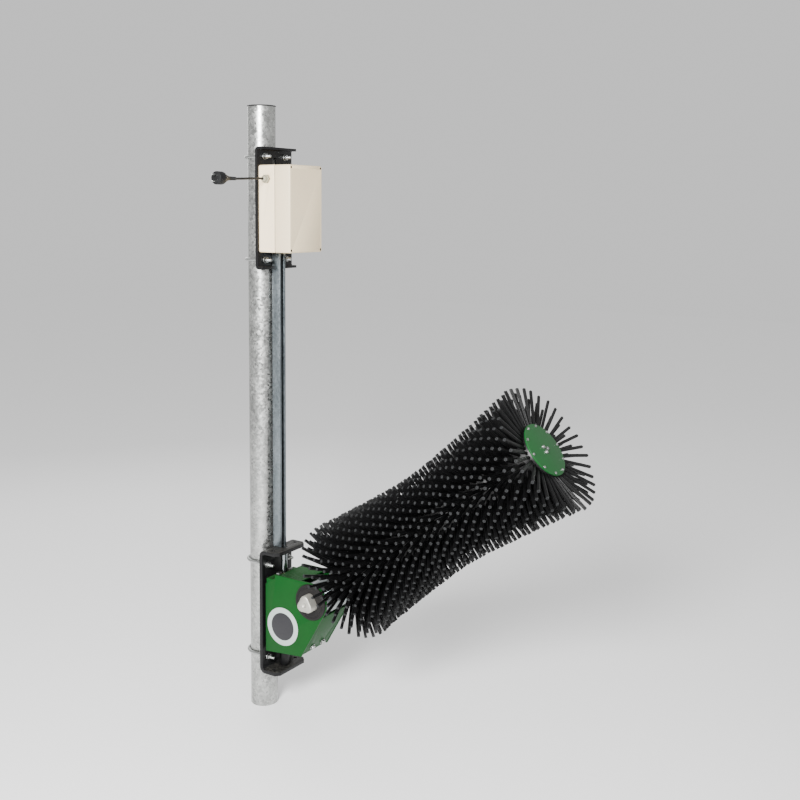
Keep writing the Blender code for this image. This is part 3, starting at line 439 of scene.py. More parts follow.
@dataclass(frozen=True)
class HotDipZinc(Finish):
    """Steel dipped in molten zinc: frozen crystals and dull runs, so the tone breaks up in patches."""

    dull: str = "#8F9496"
    bright: str = "#C9CDCD"
    crystal_mm: float = 9.0
    ragged_mm: float = 6.0
    ragged_by: float = 0.006
    run_mm: float = 38.0
    run_squash: float = 0.45
    crystal_share: float = 0.34

    def grains(self) -> dict[str, tuple[float, float, float]]:
        """What makes the crystals' borders ragged."""
        return {"ragged": (self.ragged_mm, 3.0, 0.6)}

    def weave(self, tree: Tree, place: Socket, grain: dict[str, Node]) -> dict[str, Node]:
        """Crystals of the stated size over slow dull runs; see the base class for Args and Returns."""
        runs = add_node(tree, "ShaderNodeMapping", {"Vector": place, "Scale": (1.0, 1.0, self.run_squash)})
        ragged = {0: self.ragged_by, 1: place, 2: grain["ragged"].outputs["Color"]}
        pushed = add_node(tree, "ShaderNodeMixRGB", ragged, blend_type="ADD")
        cells = {"Vector": pushed, "Scale": 1 / (self.crystal_mm * MM), "Randomness": 1.0}
        crystals = add_node(tree, "ShaderNodeTexVoronoi", cells, feature="F1")
        tone = add_node(tree, "ShaderNodeSeparateColor", {0: crystals.outputs["Color"]})
        slow = {"Vector": runs, "Scale": 1 / (self.run_mm * MM), "Detail": 5.0, "Roughness": 0.62}
        cloud = add_node(tree, "ShaderNodeTexNoise", slow)
        both = add_node(tree, "ShaderNodeMath", {0: tone, 1: self.crystal_share}, operation="MULTIPLY")
        spread = add_node(tree, "ShaderNodeMath", {0: cloud, 1: both}, operation="ADD")
        ramp = add_node(tree, "ShaderNodeMapRange", {0: spread, 1: 0.42, 2: 0.98})
        colour = add_node(
            tree, "ShaderNodeMixRGB", {0: ramp, 1: linear(self.dull), 2: linear(self.bright)}
        )
        shine = {0: tone, 3: self.roughness - 0.08, 4: self.roughness + 0.14}
        gloss = add_node(tree, "ShaderNodeMapRange", shine)
        return {"Base Color": colour, "Roughness": gloss, "height": spread}


@dataclass(frozen=True)
class Coating(Finish):
    """Powder coat or enamel: a fine orange peel, a slightly uneven colour and barn dust on what looks up.

    Its gloss is weak, because years of rubbing have dulled the paint.
    """

    gloss_level: float = 0.25
    peel_mm: float = 1.6
    cloud_mm: float = 45.0
    speck_mm: float = 7.0
    uneven: float = 0.18
    dust: str = "#8E8A80"
    dust_share: float = 0.3

    def grains(self) -> dict[str, tuple[float, float, float]]:
        """Orange peel, slow change of colour and specks of dust."""
        return {
            "peel": (self.peel_mm, 2.0, 0.5),
            "cloud": (self.cloud_mm, 4.0, 0.6),
            "speck": (self.speck_mm, 6.0, 0.7),
        }

    def weave(self, tree: Tree, place: Socket, grain: dict[str, Node]) -> dict[str, Node]:
        """Orange peel, uneven colour and dust; see the base class for Args and Returns."""
        darker, lighter = (linear(self.colour, 1 + part * self.uneven) for part in (-1, 1))
        paint = add_node(tree, "ShaderNodeMixRGB", {0: grain["cloud"], 1: darker, 2: lighter})
        normal = add_node(tree, "ShaderNodeNewGeometry").outputs["Normal"]
        up = add_node(tree, "ShaderNodeSeparateXYZ", {0: normal}).outputs["Z"]
        level = add_node(tree, "ShaderNodeMapRange", {0: up, 1: 0.55, 2: 1.0})
        patch = add_node(tree, "ShaderNodeMapRange", {0: grain["speck"], 1: 0.42, 2: 0.66})
        laid = add_node(tree, "ShaderNodeMath", {0: level, 1: patch}, operation="MULTIPLY")
        share = add_node(tree, "ShaderNodeMath", {0: laid, 1: self.dust_share}, operation="MULTIPLY")
        colour = add_node(tree, "ShaderNodeMixRGB", {0: share, 1: paint, 2: linear(self.dust)})
        shine = {0: laid, 3: self.roughness, 4: min(self.roughness + 0.35, 1.0)}
        gloss = add_node(tree, "ShaderNodeMapRange", shine)
        return {"Base Color": colour, "Roughness": gloss, "height": grain["peel"]}


@dataclass(frozen=True)
class MouldedPlastic(Finish):
    """Injection-moulded plastic: a fine even texture, drawn at 1.2 mm so that it shows."""

    texture_mm: float = 1.2
    cloud_mm: float = 60.0
    stain: str = "#B9B0A2"
    stain_share: float = 0.22

    def grains(self) -> dict[str, tuple[float, float, float]]:
        """Mould texture and clouds of grime."""
        return {"texture": (self.texture_mm, 3.0, 0.5), "cloud": (self.cloud_mm, 5.0, 0.65)}

    def weave(self, tree: Tree, place: Socket, grain: dict[str, Node]) -> dict[str, Node]:
        """Mould texture and a breath of grime; see the base class for Args and Returns."""
        grime = {0: grain["cloud"], 1: 0.5, 2: 0.8, 4: self.stain_share}
        patch = add_node(tree, "ShaderNodeMapRange", grime)
        colour = add_node(
            tree, "ShaderNodeMixRGB", {0: patch, 1: linear(self.colour), 2: linear(self.stain)}
        )
        shine = {0: grain["texture"], 3: self.roughness - 0.05, 4: self.roughness + 0.08}
        gloss = add_node(tree, "ShaderNodeMapRange", shine)
        return {"Base Color": colour, "Roughness": gloss, "height": grain["texture"]}


@dataclass(frozen=True)
class TurnedSteel(Finish):
    """Steel, zinc plate or bronze with fine tool marks, drawn at 0.9 mm so that they show."""

    mark_mm: float = 0.9
    cloud_mm: float = 14.0
    grain_along: tuple[float, float, float] = (1.0, 1.0, 1.0)
    shade: float = 0.25

    def grains(self) -> dict[str, tuple[float, float, float]]:
        """Slow change of tone."""
        return {"cloud": (self.cloud_mm, 4.0, 0.5)}

    def weave(self, tree: Tree, place: Socket, grain: dict[str, Node]) -> dict[str, Node]:
        """Tool marks stretched along the grain; see the base class for Args and Returns."""
        drawn = add_node(tree, "ShaderNodeMapping", {"Vector": place, "Scale": self.grain_along})
        tool = {"Vector": drawn, "Scale": 1 / (self.mark_mm * MM), "Detail": 2.0}
        marks = add_node(tree, "ShaderNodeTexNoise", tool)
        base, darker = linear(self.colour), linear(self.colour, 1 - self.shade)
        colour = add_node(tree, "ShaderNodeMixRGB", {0: grain["cloud"], 1: base, 2: darker})
        shine = {0: marks, 3: max(self.roughness - 0.06, 0.02), 4: self.roughness + 0.1}
        gloss = add_node(tree, "ShaderNodeMapRange", shine)
        return {"Base Color": colour, "Roughness": gloss, "height": marks}


@dataclass(frozen=True)
class Rubber(Finish):
    """Carbon-black rubber, moulded: matt, with a pale bloom and fine pits."""

    gloss_level: float = 0.25
    bloom: str = "#5A5552"
    pit_mm: float = 1.1
    cloud_mm: float = 18.0

    def grains(self) -> dict[str, tuple[float, float, float]]:
        """Pits and clouds of bloom."""
        return {"pits": (self.pit_mm, 3.0, 0.5), "cloud": (self.cloud_mm, 4.0, 0.5)}

    def weave(self, tree: Tree, place: Socket, grain: dict[str, Node]) -> dict[str, Node]:
        """Bloom and pits; see the base class for Args and Returns."""
        patch = add_node(tree, "ShaderNodeMapRange", {0: grain["cloud"], 1: 0.45, 2: 0.85, 4: 0.4})
        colour = add_node(
            tree, "ShaderNodeMixRGB", {0: patch, 1: linear(self.colour), 2: linear(self.bloom)}
        )
        return {"Base Color": colour, "height": grain["pits"]}


@dataclass(frozen=True)
class NylonFilament(Finish):
    """Extruded black nylon cut square: dull from use along its length, and paler at the cut ends, where the
    grey is partly the rough cut and partly a painted highlight on the tips.
    """

    gloss_level: float = 0.3
    faded: str = "#111112"
    # Grey of the cut ends: partly the rough cut, partly a painted highlight on the tips.
    cut: str = "#222324"
    cut_from: float = 0.975
    cut_roughness: float = 0.75
    tint_mm: float = 9.0

    def grains(self) -> dict[str, tuple[float, float, float]]:
        """Change of black from tuft to tuft."""
        return {"tint": (self.tint_mm, 2.0, 0.5)}

    def weave(self, tree: Tree, place: Socket, grain: dict[str, Node]) -> dict[str, Node]:
        """Pale cut ends by the tuft's own length, partly rough cut and partly painted highlight; see the base
        class for Args and Returns.
        """
        along = add_node(tree, "ShaderNodeAttribute", attribute_name="along").outputs["Fac"]
        end = add_node(tree, "ShaderNodeMapRange", {0: along, 1: self.cut_from, 2: 1.0})
        black, faded = linear(self.colour), linear(self.faded)
        length = add_node(tree, "ShaderNodeMixRGB", {0: grain["tint"], 1: black, 2: faded})
        # The grey at the cut ends is partly a painted highlight on the tips, partly the rough cut.
        colour = add_node(tree, "ShaderNodeMixRGB", {0: end, 1: length, 2: linear(self.cut)})
        gloss = add_node(tree, "ShaderNodeMapRange", {0: end, 3: self.roughness, 4: self.cut_roughness})
        return {"Base Color": colour, "Roughness": gloss}


@dataclass(frozen=True)
class BareDisc(Finish):
    """Satin film in two plain tones: a pale ring and a dark middle."""

    middle: str = "#131217"
    centre: tuple[float, float, float] = (0.0, 0.0, 0.0)
    ring_r: float = 0.045
    soft_edge: float = 0.4 * MM
    scuff_mm: float = 5.0

    def grains(self) -> dict[str, tuple[float, float, float]]:
        """Scuffs."""
        return {"scuff": (self.scuff_mm, 5.0, 0.5)}

    def weave(self, tree: Tree, place: Socket, grain: dict[str, Node]) -> dict[str, Node]:
        """Two tones by the distance from the middle; see the base class for Args and Returns."""
        away = add_node(tree, "ShaderNodeVectorMath", {0: place, 1: self.centre}, operation="DISTANCE")
        edge = {0: away.outputs["Value"], 1: self.ring_r - self.soft_edge, 2: self.ring_r + self.soft_edge}
        rim = add_node(tree, "ShaderNodeMapRange", edge)
        colour = add_node(
            tree, "ShaderNodeMixRGB", {0: rim, 1: linear(self.middle), 2: linear(self.colour)}
        )
        shine = {0: grain["scuff"], 3: self.roughness - 0.08, 4: self.roughness + 0.2}
        gloss = add_node(tree, "ShaderNodeMapRange", shine)
        return {"Base Color": colour, "Roughness": gloss, "height": grain["scuff"]}


# The tube: bright crystals between dull ones, with soft highlights down its length.
POST_ZINC = HotDipZinc(
    "hot-dip galvanised tube", "#AEAFAD", 0.30, 0.94, 0.12, dull="#898A88", bright="#C3C4C1", crystal_mm=7.0
)
# The channel: thin rolled strip with small crystals, blue-grey and almost even.
STRIP_ZINC = HotDipZinc(
    "galvanised strip", "#A0A7AB", 0.36, 0.85, 0.08, dull="#5F676B", bright="#838B8F", crystal_mm=5.0
)
# Brackets and spacer: baked powder, nearly black, with dust on the flanges.
BLACK_COAT = Coating("black powder coat", "#0D0D0E", 0.42, 0.0, 0.25, uneven=0.12, dust_share=0.16)
# Housing and cover: sprayed enamel, deep green and only faintly glossy.
GREEN_ENAMEL = Coating("green enamel", "#0A4015", 0.45, 0.0, 0.12, 0.1, uneven=0.14, dust_share=0.08)
# End disc: the same enamel, rubbed smoother by the cows; its lighter base colour is painted light, for the
# light that the disc catches.
LIT_DISC_ENAMEL = Coating("green enamel of the disc, painted lighter", "#124D21", 0.4, 0.0, 0.12, uneven=0.1, dust_share=0.08)
# Box base and lid: moulded, warm and nearly white. The lid is the same cream with a darker base colour, which
# is painted shade for its front face.
CREAM_ABS = MouldedPlastic("cream ABS", "#F8E3C0", 0.42, 0.0, 0.12)
SHADED_CREAM_ABS = MouldedPlastic("cream ABS with painted shade", "#DFCDAC", 0.5, 0.0, 0.12)
# Gland: moulded nylon, a grey that leans to green against the box.
GLAND_NYLON = MouldedPlastic("light grey nylon", "#928E7A", 0.4, 0.0, 0.1)
# The post's plug: moulded nylon with a soft dark sheen.
BLACK_NYLON = MouldedPlastic("black nylon", "#222223", 0.45, 0.0, 0.15, stain="#4A4947")
# Inside the brush and the box: sprayed motor paint, and the lacquer of a circuit board.
MOTOR_PAINT = Coating("dark motor paint", "#26272A", 0.5, 0.0, 0.2)
BOARD_RESIN = Coating("green circuit board", "#1E5030", 0.45, 0.0, 0.2, peel_mm=2.5)
# Bolts, nuts and pins: electroplated, pale and bright with soft tool marks.
ZINC_PLATE = TurnedSteel("bright zinc plate", "#B4B6B4", 0.3, 1.0, 0.18)
# Lid screws: blackened, so they read as dark dots.
DARK_STEEL = TurnedSteel("blackened screw steel", "#3B3935", 0.42, 1.0, 0.2)
# Drum and pivot pin: turned and polished, with drawn-out reflections.
POLISHED = TurnedSteel(
    "polished stainless steel", "#8C9293", 0.2, 1.0, 0.05, grain_along=(1.0, 0.05, 1.0)
)
# Three-sided bar: sand-cast, pale and matt with a coarse skin.
CAST_BAR = TurnedSteel("cast aluminium", "#BEBCB3", 0.5, 0.85, 0.35, mark_mm=1.8)
# Bushes: pressed from powder, a dull yellow brown.
BRONZE = TurnedSteel("sintered bronze", "#A0763E", 0.42, 1.0, 0.25)
# Torsion discs and gasket: moulded, matt and warm black.
RUBBER = Rubber("moulded rubber", "#0E0C0C", 0.62, 0.0, 0.3, bloom="#221F1E")
# Cord and plug: extruded and moulded, a little glossier than the discs.
CORD_RUBBER = Rubber("cord rubber", "#0F0F10", 0.5, 0.0, 0.2, bloom="#202022")
# Bristles: extruded and black; the grey dots at the cut tips are partly the rough cut and partly a painted
# highlight.
BRISTLE = NylonFilament("black nylon bristle", "#070707", 0.38)
# Disc on the side plate: satin film in two tones.
BARE_DISC = BareDisc("bare film disc", "#A3ADA8", 0.38, 0.0, 0.1, centre=DISC_CENTRE)


# What repeats: fasteners and tufts


class Recipe:
    """Geometry tree with named inputs, which is evaluated for each piece that it makes."""

    KINDS: ClassVar[dict[type, str]] = {
        int: "Int",
        float: "Float",
        tuple: "Vector",
        bpy.types.Material: "Material",
    }

    def __init__(self, name: str, values: dict[str, object]) -> None:
        """Starts the tree, with an input for the seats and one for each value.

        Args:
            name: Name of the tree.
            values: An example of each named input's value, which gives its kind.
        """
        self.tree: Tree = bpy.data.node_groups.new(name, "GeometryNodeTree")
        face = self.tree.interface
        face.new_socket("Geometry", in_out="OUTPUT", socket_type="NodeSocketGeometry")
        face.new_socket("Seats", in_out="INPUT", socket_type="NodeSocketGeometry")
        self.ids: dict[str, str] = {}
        for key, value in values.items():
            kind = f"NodeSocket{self.KINDS[type(value)]}"
            self.ids[key] = face.new_socket(key, in_out="INPUT", socket_type=kind).identifier
        self.given: bpy.types.bpy_prop_collection = add_node(self.tree, "NodeGroupInput").outputs

    def close(self, instances: Node) -> None:
        """Ends the tree by making its instances real and giving them the input "Finish"."""
        real = add_node(self.tree, "GeometryNodeRealizeInstances", {0: instances})
        dress = {"Geometry": real, "Material": self.given["Finish"]}
        dressed = add_node(self.tree, "GeometryNodeSetMaterial", dress)
        add_node(self.tree, "NodeGroupOutput", {0: dressed})

    def baked(
        self,
        name: str,
        values: dict[str, object],
        seats: Sequence[Vector],
        edge: float = 0.0,
        sharp_deg: float = 50.0,
    ) -> Piece:
        """Evaluates the tree once and keeps its result as a plain mesh.

        Args:
            name: Name of the result.
            values: Value of each named input.
            seats: Points that the tree starts from.
            edge: Width of an eased edge, or nothing.
            sharp_deg: Angle above which an edge stays sharp.

        Returns:
            The mesh object, at the origin.
        """
        start = bpy.data.meshes.new(f"{name}_seats")
        start.from_pydata([tuple(p) for p in seats], [], [])
        holder = in_scene(f"{name}_holder", start)
        change = holder.modifiers.new("recipe", "NODES")
        change.node_group = self.tree
        for key, value in values.items():
            change[self.ids[key]] = value
        if edge:
            ease = holder.modifiers.new("edge", "BEVEL")
            ease.width = edge
            ease.segments = 2
            ease.angle_limit = math.radians(40)
        bpy.context.view_layer.update()
        graph = bpy.context.evaluated_depsgraph_get()
        mesh = bpy.data.meshes.new_from_object(holder.evaluated_get(graph))
        mesh.name = name
        bpy.data.objects.remove(holder)
        smooth(mesh, sharp_deg)
        return in_scene(name, mesh)


class HeadStyle(Enum):
    """Shape of a fastener's head: its number of sides."""

    HEX = 6
    ROUND = 32


@dataclass
class FastenerRow:
    """Heads or nuts of one size on many seats, each on its washer.

    The tree instances one head on every seat, turned by a seeded angle about its own axis.
    """

    name: str
    style: HeadStyle
    radius: float
    height: float
    washer_r: float
    washer_t: float
    axis: Vector
    seed: int = 3
    edge: float = 0.0005
    washer_sides: int = 32

    def recipe(self, values: dict[str, object]) -> Recipe:
        """Builds the tree.

        Args:
            values: Value of each named input.

        Returns:
            The tree with its inputs.
        """
        made = Recipe(f"{self.name}_heads", values)
        tree, given = made.tree, made.given
        thick, tall = given["Washer thickness"], given["Head height"]
        half = add_node(tree, "ShaderNodeMath", {0: tall, 1: 0.5}, operation="MULTIPLY")
        lift = add_node(tree, "ShaderNodeMath", {0: half, 1: thick}, operation="ADD")
        low = add_node(tree, "ShaderNodeMath", {0: thick, 1: 0.5}, operation="MULTIPLY")
        stack = []
        for sides, radius, depth, middle in (
            (given["Sides"], given["Head radius"], tall, lift),
            (self.washer_sides, given["Washer radius"], thick, low),
        ):
            size = {"Vertices": sides, "Radius": radius, "Depth": depth}
            disc = add_node(tree, "GeometryNodeMeshCylinder", size)
            up = add_node(tree, "ShaderNodeCombineXYZ", {"Z": middle})
            stack.append(add_node(tree, "GeometryNodeTransform", {"Geometry": disc, "Translation": up}))
        pair = add_node(tree, "GeometryNodeJoinGeometry", {0: stack})
        turn = add_node(tree, "FunctionNodeAlignRotationToVector", {"Vector": given["Axis"]}, axis="Z")
        seated = {"Points": given["Seats"], "Instance": pair, "Rotation": turn}
        placed = add_node(tree, "GeometryNodeInstanceOnPoints", seated)
        chance = {"Max": math.pi, "Seed": given["Seed"]}
        spin = add_node(tree, "FunctionNodeRandomValue", chance, data_type="FLOAT").outputs[1]
        way = add_node(tree, "ShaderNodeCombineXYZ", {"Z": spin})
        spun = {"Instances": placed, "Rotation": way, "Local Space": True}
        made.close(add_node(tree, "GeometryNodeRotateInstances", spun))
        return made

    def build(self, seats: Sequence[Vector], finish: Finish) -> Piece:
        """Makes the row as one plain mesh.

        Args:
            seats: Where the washers' lower faces lie.
            finish: What the fasteners are made of.

        Returns:
            The mesh object, at the origin.
        """
        values = {
            "Sides": self.style.value,
            "Head radius": self.radius,
            "Head height": self.height,
            "Washer radius": self.washer_r,
            "Washer thickness": self.washer_t,
            "Axis": tuple(self.axis),
            "Seed": self.seed,
            "Finish": finish.material(),
        }
        return self.recipe(values).baked(self.name, values, seats, self.edge)


@dataclass
class TuftField:
    """Rows of tufts round a roller, long at both of its ends and short at its waist.

    A tuft is seven filaments packed in a hexagon, cut nearly square. It leans towards its own end of the
    roller, and each row stands a little further round than the last.
    """

    start: float = 0.1220
    length: float = 0.8247
    root_r: float = 0.0752
    tip_end_r: float = 0.1985
    tip_waist_r: float = 0.157
    swell_power: float = 1.45
    lean_near_deg: float = 5.0
    lean_far_deg: float = 12.8
    lean_power: float = 1.5
    stray_rad: float = 0.030
    columns: int = 36
    rows: int = 35
    row_turn: float = 0.5
    filament_r: float = 0.0017
    filament_pitch: float = 1.95
    filament_least: float = 0.975
    cut_share: float = 0.985
    cut_spread: float = 0.012
    seed: int = 11

    def values(self, first: int, rows: int, finish: Finish) -> dict[str, object]:
        """Input values for some of the rows.

        Args:
            first: Number of the first row.
            rows: How many rows.
            finish: What the filaments are made of.

        Returns:
            Value of each named input.
        """
        return {
            "Columns": self.columns,
            "Rows": rows,
            "First row": first,
            "Rows in all": self.rows,
            "Row turn": self.row_turn,
            "Start": self.start,
            "Length": self.length,
            "Root radius": self.root_r,
            "Tip radius at the ends": self.tip_end_r,
            "Tip radius at the waist": self.tip_waist_r,
            "Lean at the drive end": math.radians(self.lean_near_deg),
            "Lean at the disc end": math.radians(self.lean_far_deg),
            "Filament radius": self.filament_r,
            "Seed": self.seed + first,
            "Finish": finish.material(),
        }

    def recipe(self, values: dict[str, object]) -> Recipe:
        """Builds the tree.

        Args:
            values: Value of each named input.

        Returns:
            The tree with its inputs.
        """
        made = Recipe("tuft_field", values)
        tree, given = made.tree, made.given

        # Which row and column a tuft stands in, and where its row lies from end to end.
        index = add_node(tree, "GeometryNodeInputIndex")
        column = add_node(tree, "ShaderNodeMath", {0: index, 1: given["Columns"]}, operation="MODULO")
        share = add_node(tree, "ShaderNodeMath", {0: index, 1: given["Columns"]}, operation="DIVIDE")
        whole = add_node(tree, "ShaderNodeMath", {0: share}, operation="FLOOR")
        row = add_node(tree, "ShaderNodeMath", {0: whole, 1: given["First row"]}, operation="ADD")
        middle = add_node(tree, "ShaderNodeMath", {0: row, 1: 0.5}, operation="ADD")
        place = add_node(tree, "ShaderNodeMath", {0: middle, 1: given["Rows in all"]}, operation="DIVIDE")
        towards = add_node(tree, "ShaderNodeMath", {0: place, 1: 2.0, 2: -1.0}, operation="MULTIPLY_ADD")
        away = add_node(tree, "ShaderNodeMath", {0: towards}, operation="ABSOLUTE")

        # Tip radius and lean follow the waist, and every tuft strays a little.
        swell = add_node(tree, "ShaderNodeMath", {0: away, 1: self.swell_power}, operation="POWER")
        tips = {0: swell, 3: given["Tip radius at the waist"], 4: given["Tip radius at the ends"]}
        tip = add_node(tree, "ShaderNodeMapRange", tips)
        bend = add_node(tree, "ShaderNodeMath", {0: away, 1: self.lean_power}, operation="POWER")
        side = add_node(tree, "ShaderNodeMath", {0: towards}, operation="SIGN")
        signed = add_node(tree, "ShaderNodeMath", {0: bend, 1: side}, operation="MULTIPLY")
        chance = {0: (-1.0, -1.0, -1.0), 1: (1.0, 1.0, 1.0), "Seed": given["Seed"]}
        stray = add_node(tree, "FunctionNodeRandomValue", chance, data_type="FLOAT_VECTOR")
        strays = add_node(tree, "ShaderNodeSeparateXYZ", {0: stray}).outputs
        wander = add_node(tree, "ShaderNodeMath", {0: strays[0], 1: self.stray_rad}, operation="MULTIPLY")
        leans = {0: towards, 1: -1.0, 3: given["Lean at the drive end"], 4: given["Lean at the disc end"]}
        most = add_node(tree, "ShaderNodeMapRange", leans)
        lean = add_node(tree, "ShaderNodeMath", {0: signed, 1: most, 2: wander}, operation="MULTIPLY_ADD")

        # Angle round the roller.
        rounds = {0: row, 1: given["Row turn"], 2: column}
        turned_by = add_node(tree, "ShaderNodeMath", rounds, operation="MULTIPLY_ADD")
        step = add_node(tree, "ShaderNodeMath", {0: 2 * math.pi, 1: given["Columns"]}, operation="DIVIDE")
        angle = add_node(tree, "ShaderNodeMath", {0: turned_by, 1: step}, operation="MULTIPLY")
        swayed = {0: strays[1], 1: self.stray_rad, 2: angle}
        sway = add_node(tree, "ShaderNodeMath", swayed, operation="MULTIPLY_ADD")
        cos_a, sin_a, cos_s, sin_s, cos_l, sin_l = (
            add_node(tree, "ShaderNodeMath", {0: turn}, operation=part)
            for turn in (angle, sway, lean)
            for part in ("COSINE", "SINE")
        )

        # Root on the roller's surface, direction and length of the tuft.
        out_x, out_y, way_x, way_y = (
            add_node(tree, "ShaderNodeMath", {0: part, 1: by}, operation="MULTIPLY")
            for part, by in (
                (cos_a, given["Root radius"]),
                (sin_a, given["Root radius"]),
                (cos_s, cos_l),
                (sin_s, cos_l),
            )
        )
        reached = {0: place, 1: given["Length"], 2: given["Start"]}
        along = add_node(tree, "ShaderNodeMath", reached, operation="MULTIPLY_ADD")
        root = add_node(tree, "ShaderNodeCombineXYZ", {0: out_x, 1: out_y, 2: along})
        way = add_node(tree, "ShaderNodeCombineXYZ", {0: way_x, 1: way_y, 2: sin_l})
        stand = add_node(tree, "ShaderNodeMath", {0: tip, 1: given["Root radius"]}, operation="SUBTRACT")
        reach = add_node(tree, "ShaderNodeMath", {0: stand, 1: cos_l}, operation="DIVIDE")
        trim = {0: strays[2], 1: self.cut_spread, 2: self.cut_share}
        cut = add_node(tree, "ShaderNodeMath", trim, operation="MULTIPLY_ADD")
        grown = add_node(tree, "ShaderNodeMath", {0: reach, 1: cut}, operation="MULTIPLY")

        # One filament of unit length, which remembers how far along it a point lies.
        rod = {"Vertices": 6, "Side Segments": 2, "Radius": given["Filament radius"], "Depth": 1.0}
        filament = add_node(tree, "GeometryNodeMeshCylinder", rod)
        lifted = {"Geometry": filament, "Translation": (0.0, 0.0, 0.5)}
        stood = add_node(tree, "GeometryNodeTransform", lifted)
        spot = add_node(tree, "GeometryNodeInputPosition")
        height = add_node(tree, "ShaderNodeSeparateXYZ", {0: spot}).outputs["Z"]
        marked = add_node(
            tree,
            "GeometryNodeStoreNamedAttribute",
            {"Geometry": stood, "Name": "along", "Value": height},
            data_type="FLOAT",
            domain="POINT",
        )

        # Seven of them make a tuft.
        apart = {0: given["Filament radius"], 1: self.filament_pitch}
        pitch = add_node(tree, "ShaderNodeMath", apart, operation="MULTIPLY")
        six = add_node(tree, "GeometryNodeMeshCircle", {"Vertices": 6, "Radius": pitch})
        one = add_node(tree, "GeometryNodePoints", {"Count": 1})
        packed = add_node(tree, "GeometryNodeJoinGeometry", {0: [six, one]})
        lengths = {0: (1.0, 1.0, self.filament_least), 1: (1.0, 1.0, 1.0), "Seed": given["Seed"]}
        uneven = add_node(tree, "FunctionNodeRandomValue", lengths, data_type="FLOAT_VECTOR")
        bunch = {"Points": packed, "Instance": marked, "Scale": uneven}
        bundle = add_node(tree, "GeometryNodeInstanceOnPoints", bunch)
        tuft = add_node(tree, "GeometryNodeRealizeInstances", {0: bundle})

        # The tufts on their points.
        total = {0: given["Columns"], 1: given["Rows"]}
        count = add_node(tree, "ShaderNodeMath", total, operation="MULTIPLY")
        points = add_node(tree, "GeometryNodePoints", {"Count": count, "Position": root})
        turn = add_node(tree, "FunctionNodeAlignRotationToVector", {"Vector": way}, axis="Z")
        size = add_node(tree, "ShaderNodeCombineXYZ", {0: 1.0, 1: 1.0, 2: grown})
        planted = {"Points": points, "Instance": tuft, "Rotation": turn, "Scale": size}
        made.close(add_node(tree, "GeometryNodeInstanceOnPoints", planted))
        return made


# Sub-assemblies


@dataclass
class Post:
    """Round tube with the plug in its top."""

    radius: float = POST_R
    wall: float = 0.0036
    height: float = 1.966
    cap_lip: float = 0.0018
    cap_plate: float = 0.0035
    spigot: float = 0.022
    spigot_play: float = 0.0016
    rim: float = 0.0008

    def build(self) -> None:
        """Builds and dresses the tube and its cap."""
        inner = self.radius - self.wall
        lip = self.rim
        rings = [
            (lip, inner),
            (0, inner + lip),
            (0, self.radius - lip),
            (lip, self.radius),
            (self.height - lip, self.radius),
            (self.height, self.radius - lip),
            (self.height, inner),
        ]
        post = turned("post_tube", rings, sides=96, hollow=True)
        present(post, POST_ZINC, "mounting", ["post"])
        top = self.height + GAP
        edge = self.radius + self.cap_lip
        rise = self.cap_plate - GAP
        rings = [
            (self.height - self.spigot, inner - self.spigot_play),
            (self.height - self.spigot + 0.0012, inner - GAP),
            (top, inner - GAP),
            (top, edge - 0.0004),
            (top + 0.0004, edge),
            (top + rise * 0.55, edge),
            (top + rise * 0.85, edge - 0.0007),
            (top + rise, edge - 0.0022),
            (top + rise, edge * 0.4),
        ]
        cap = turned("post_top_plug", rings, sides=96)
        present(cap, BLACK_NYLON, "mounting", ["post_cap"])


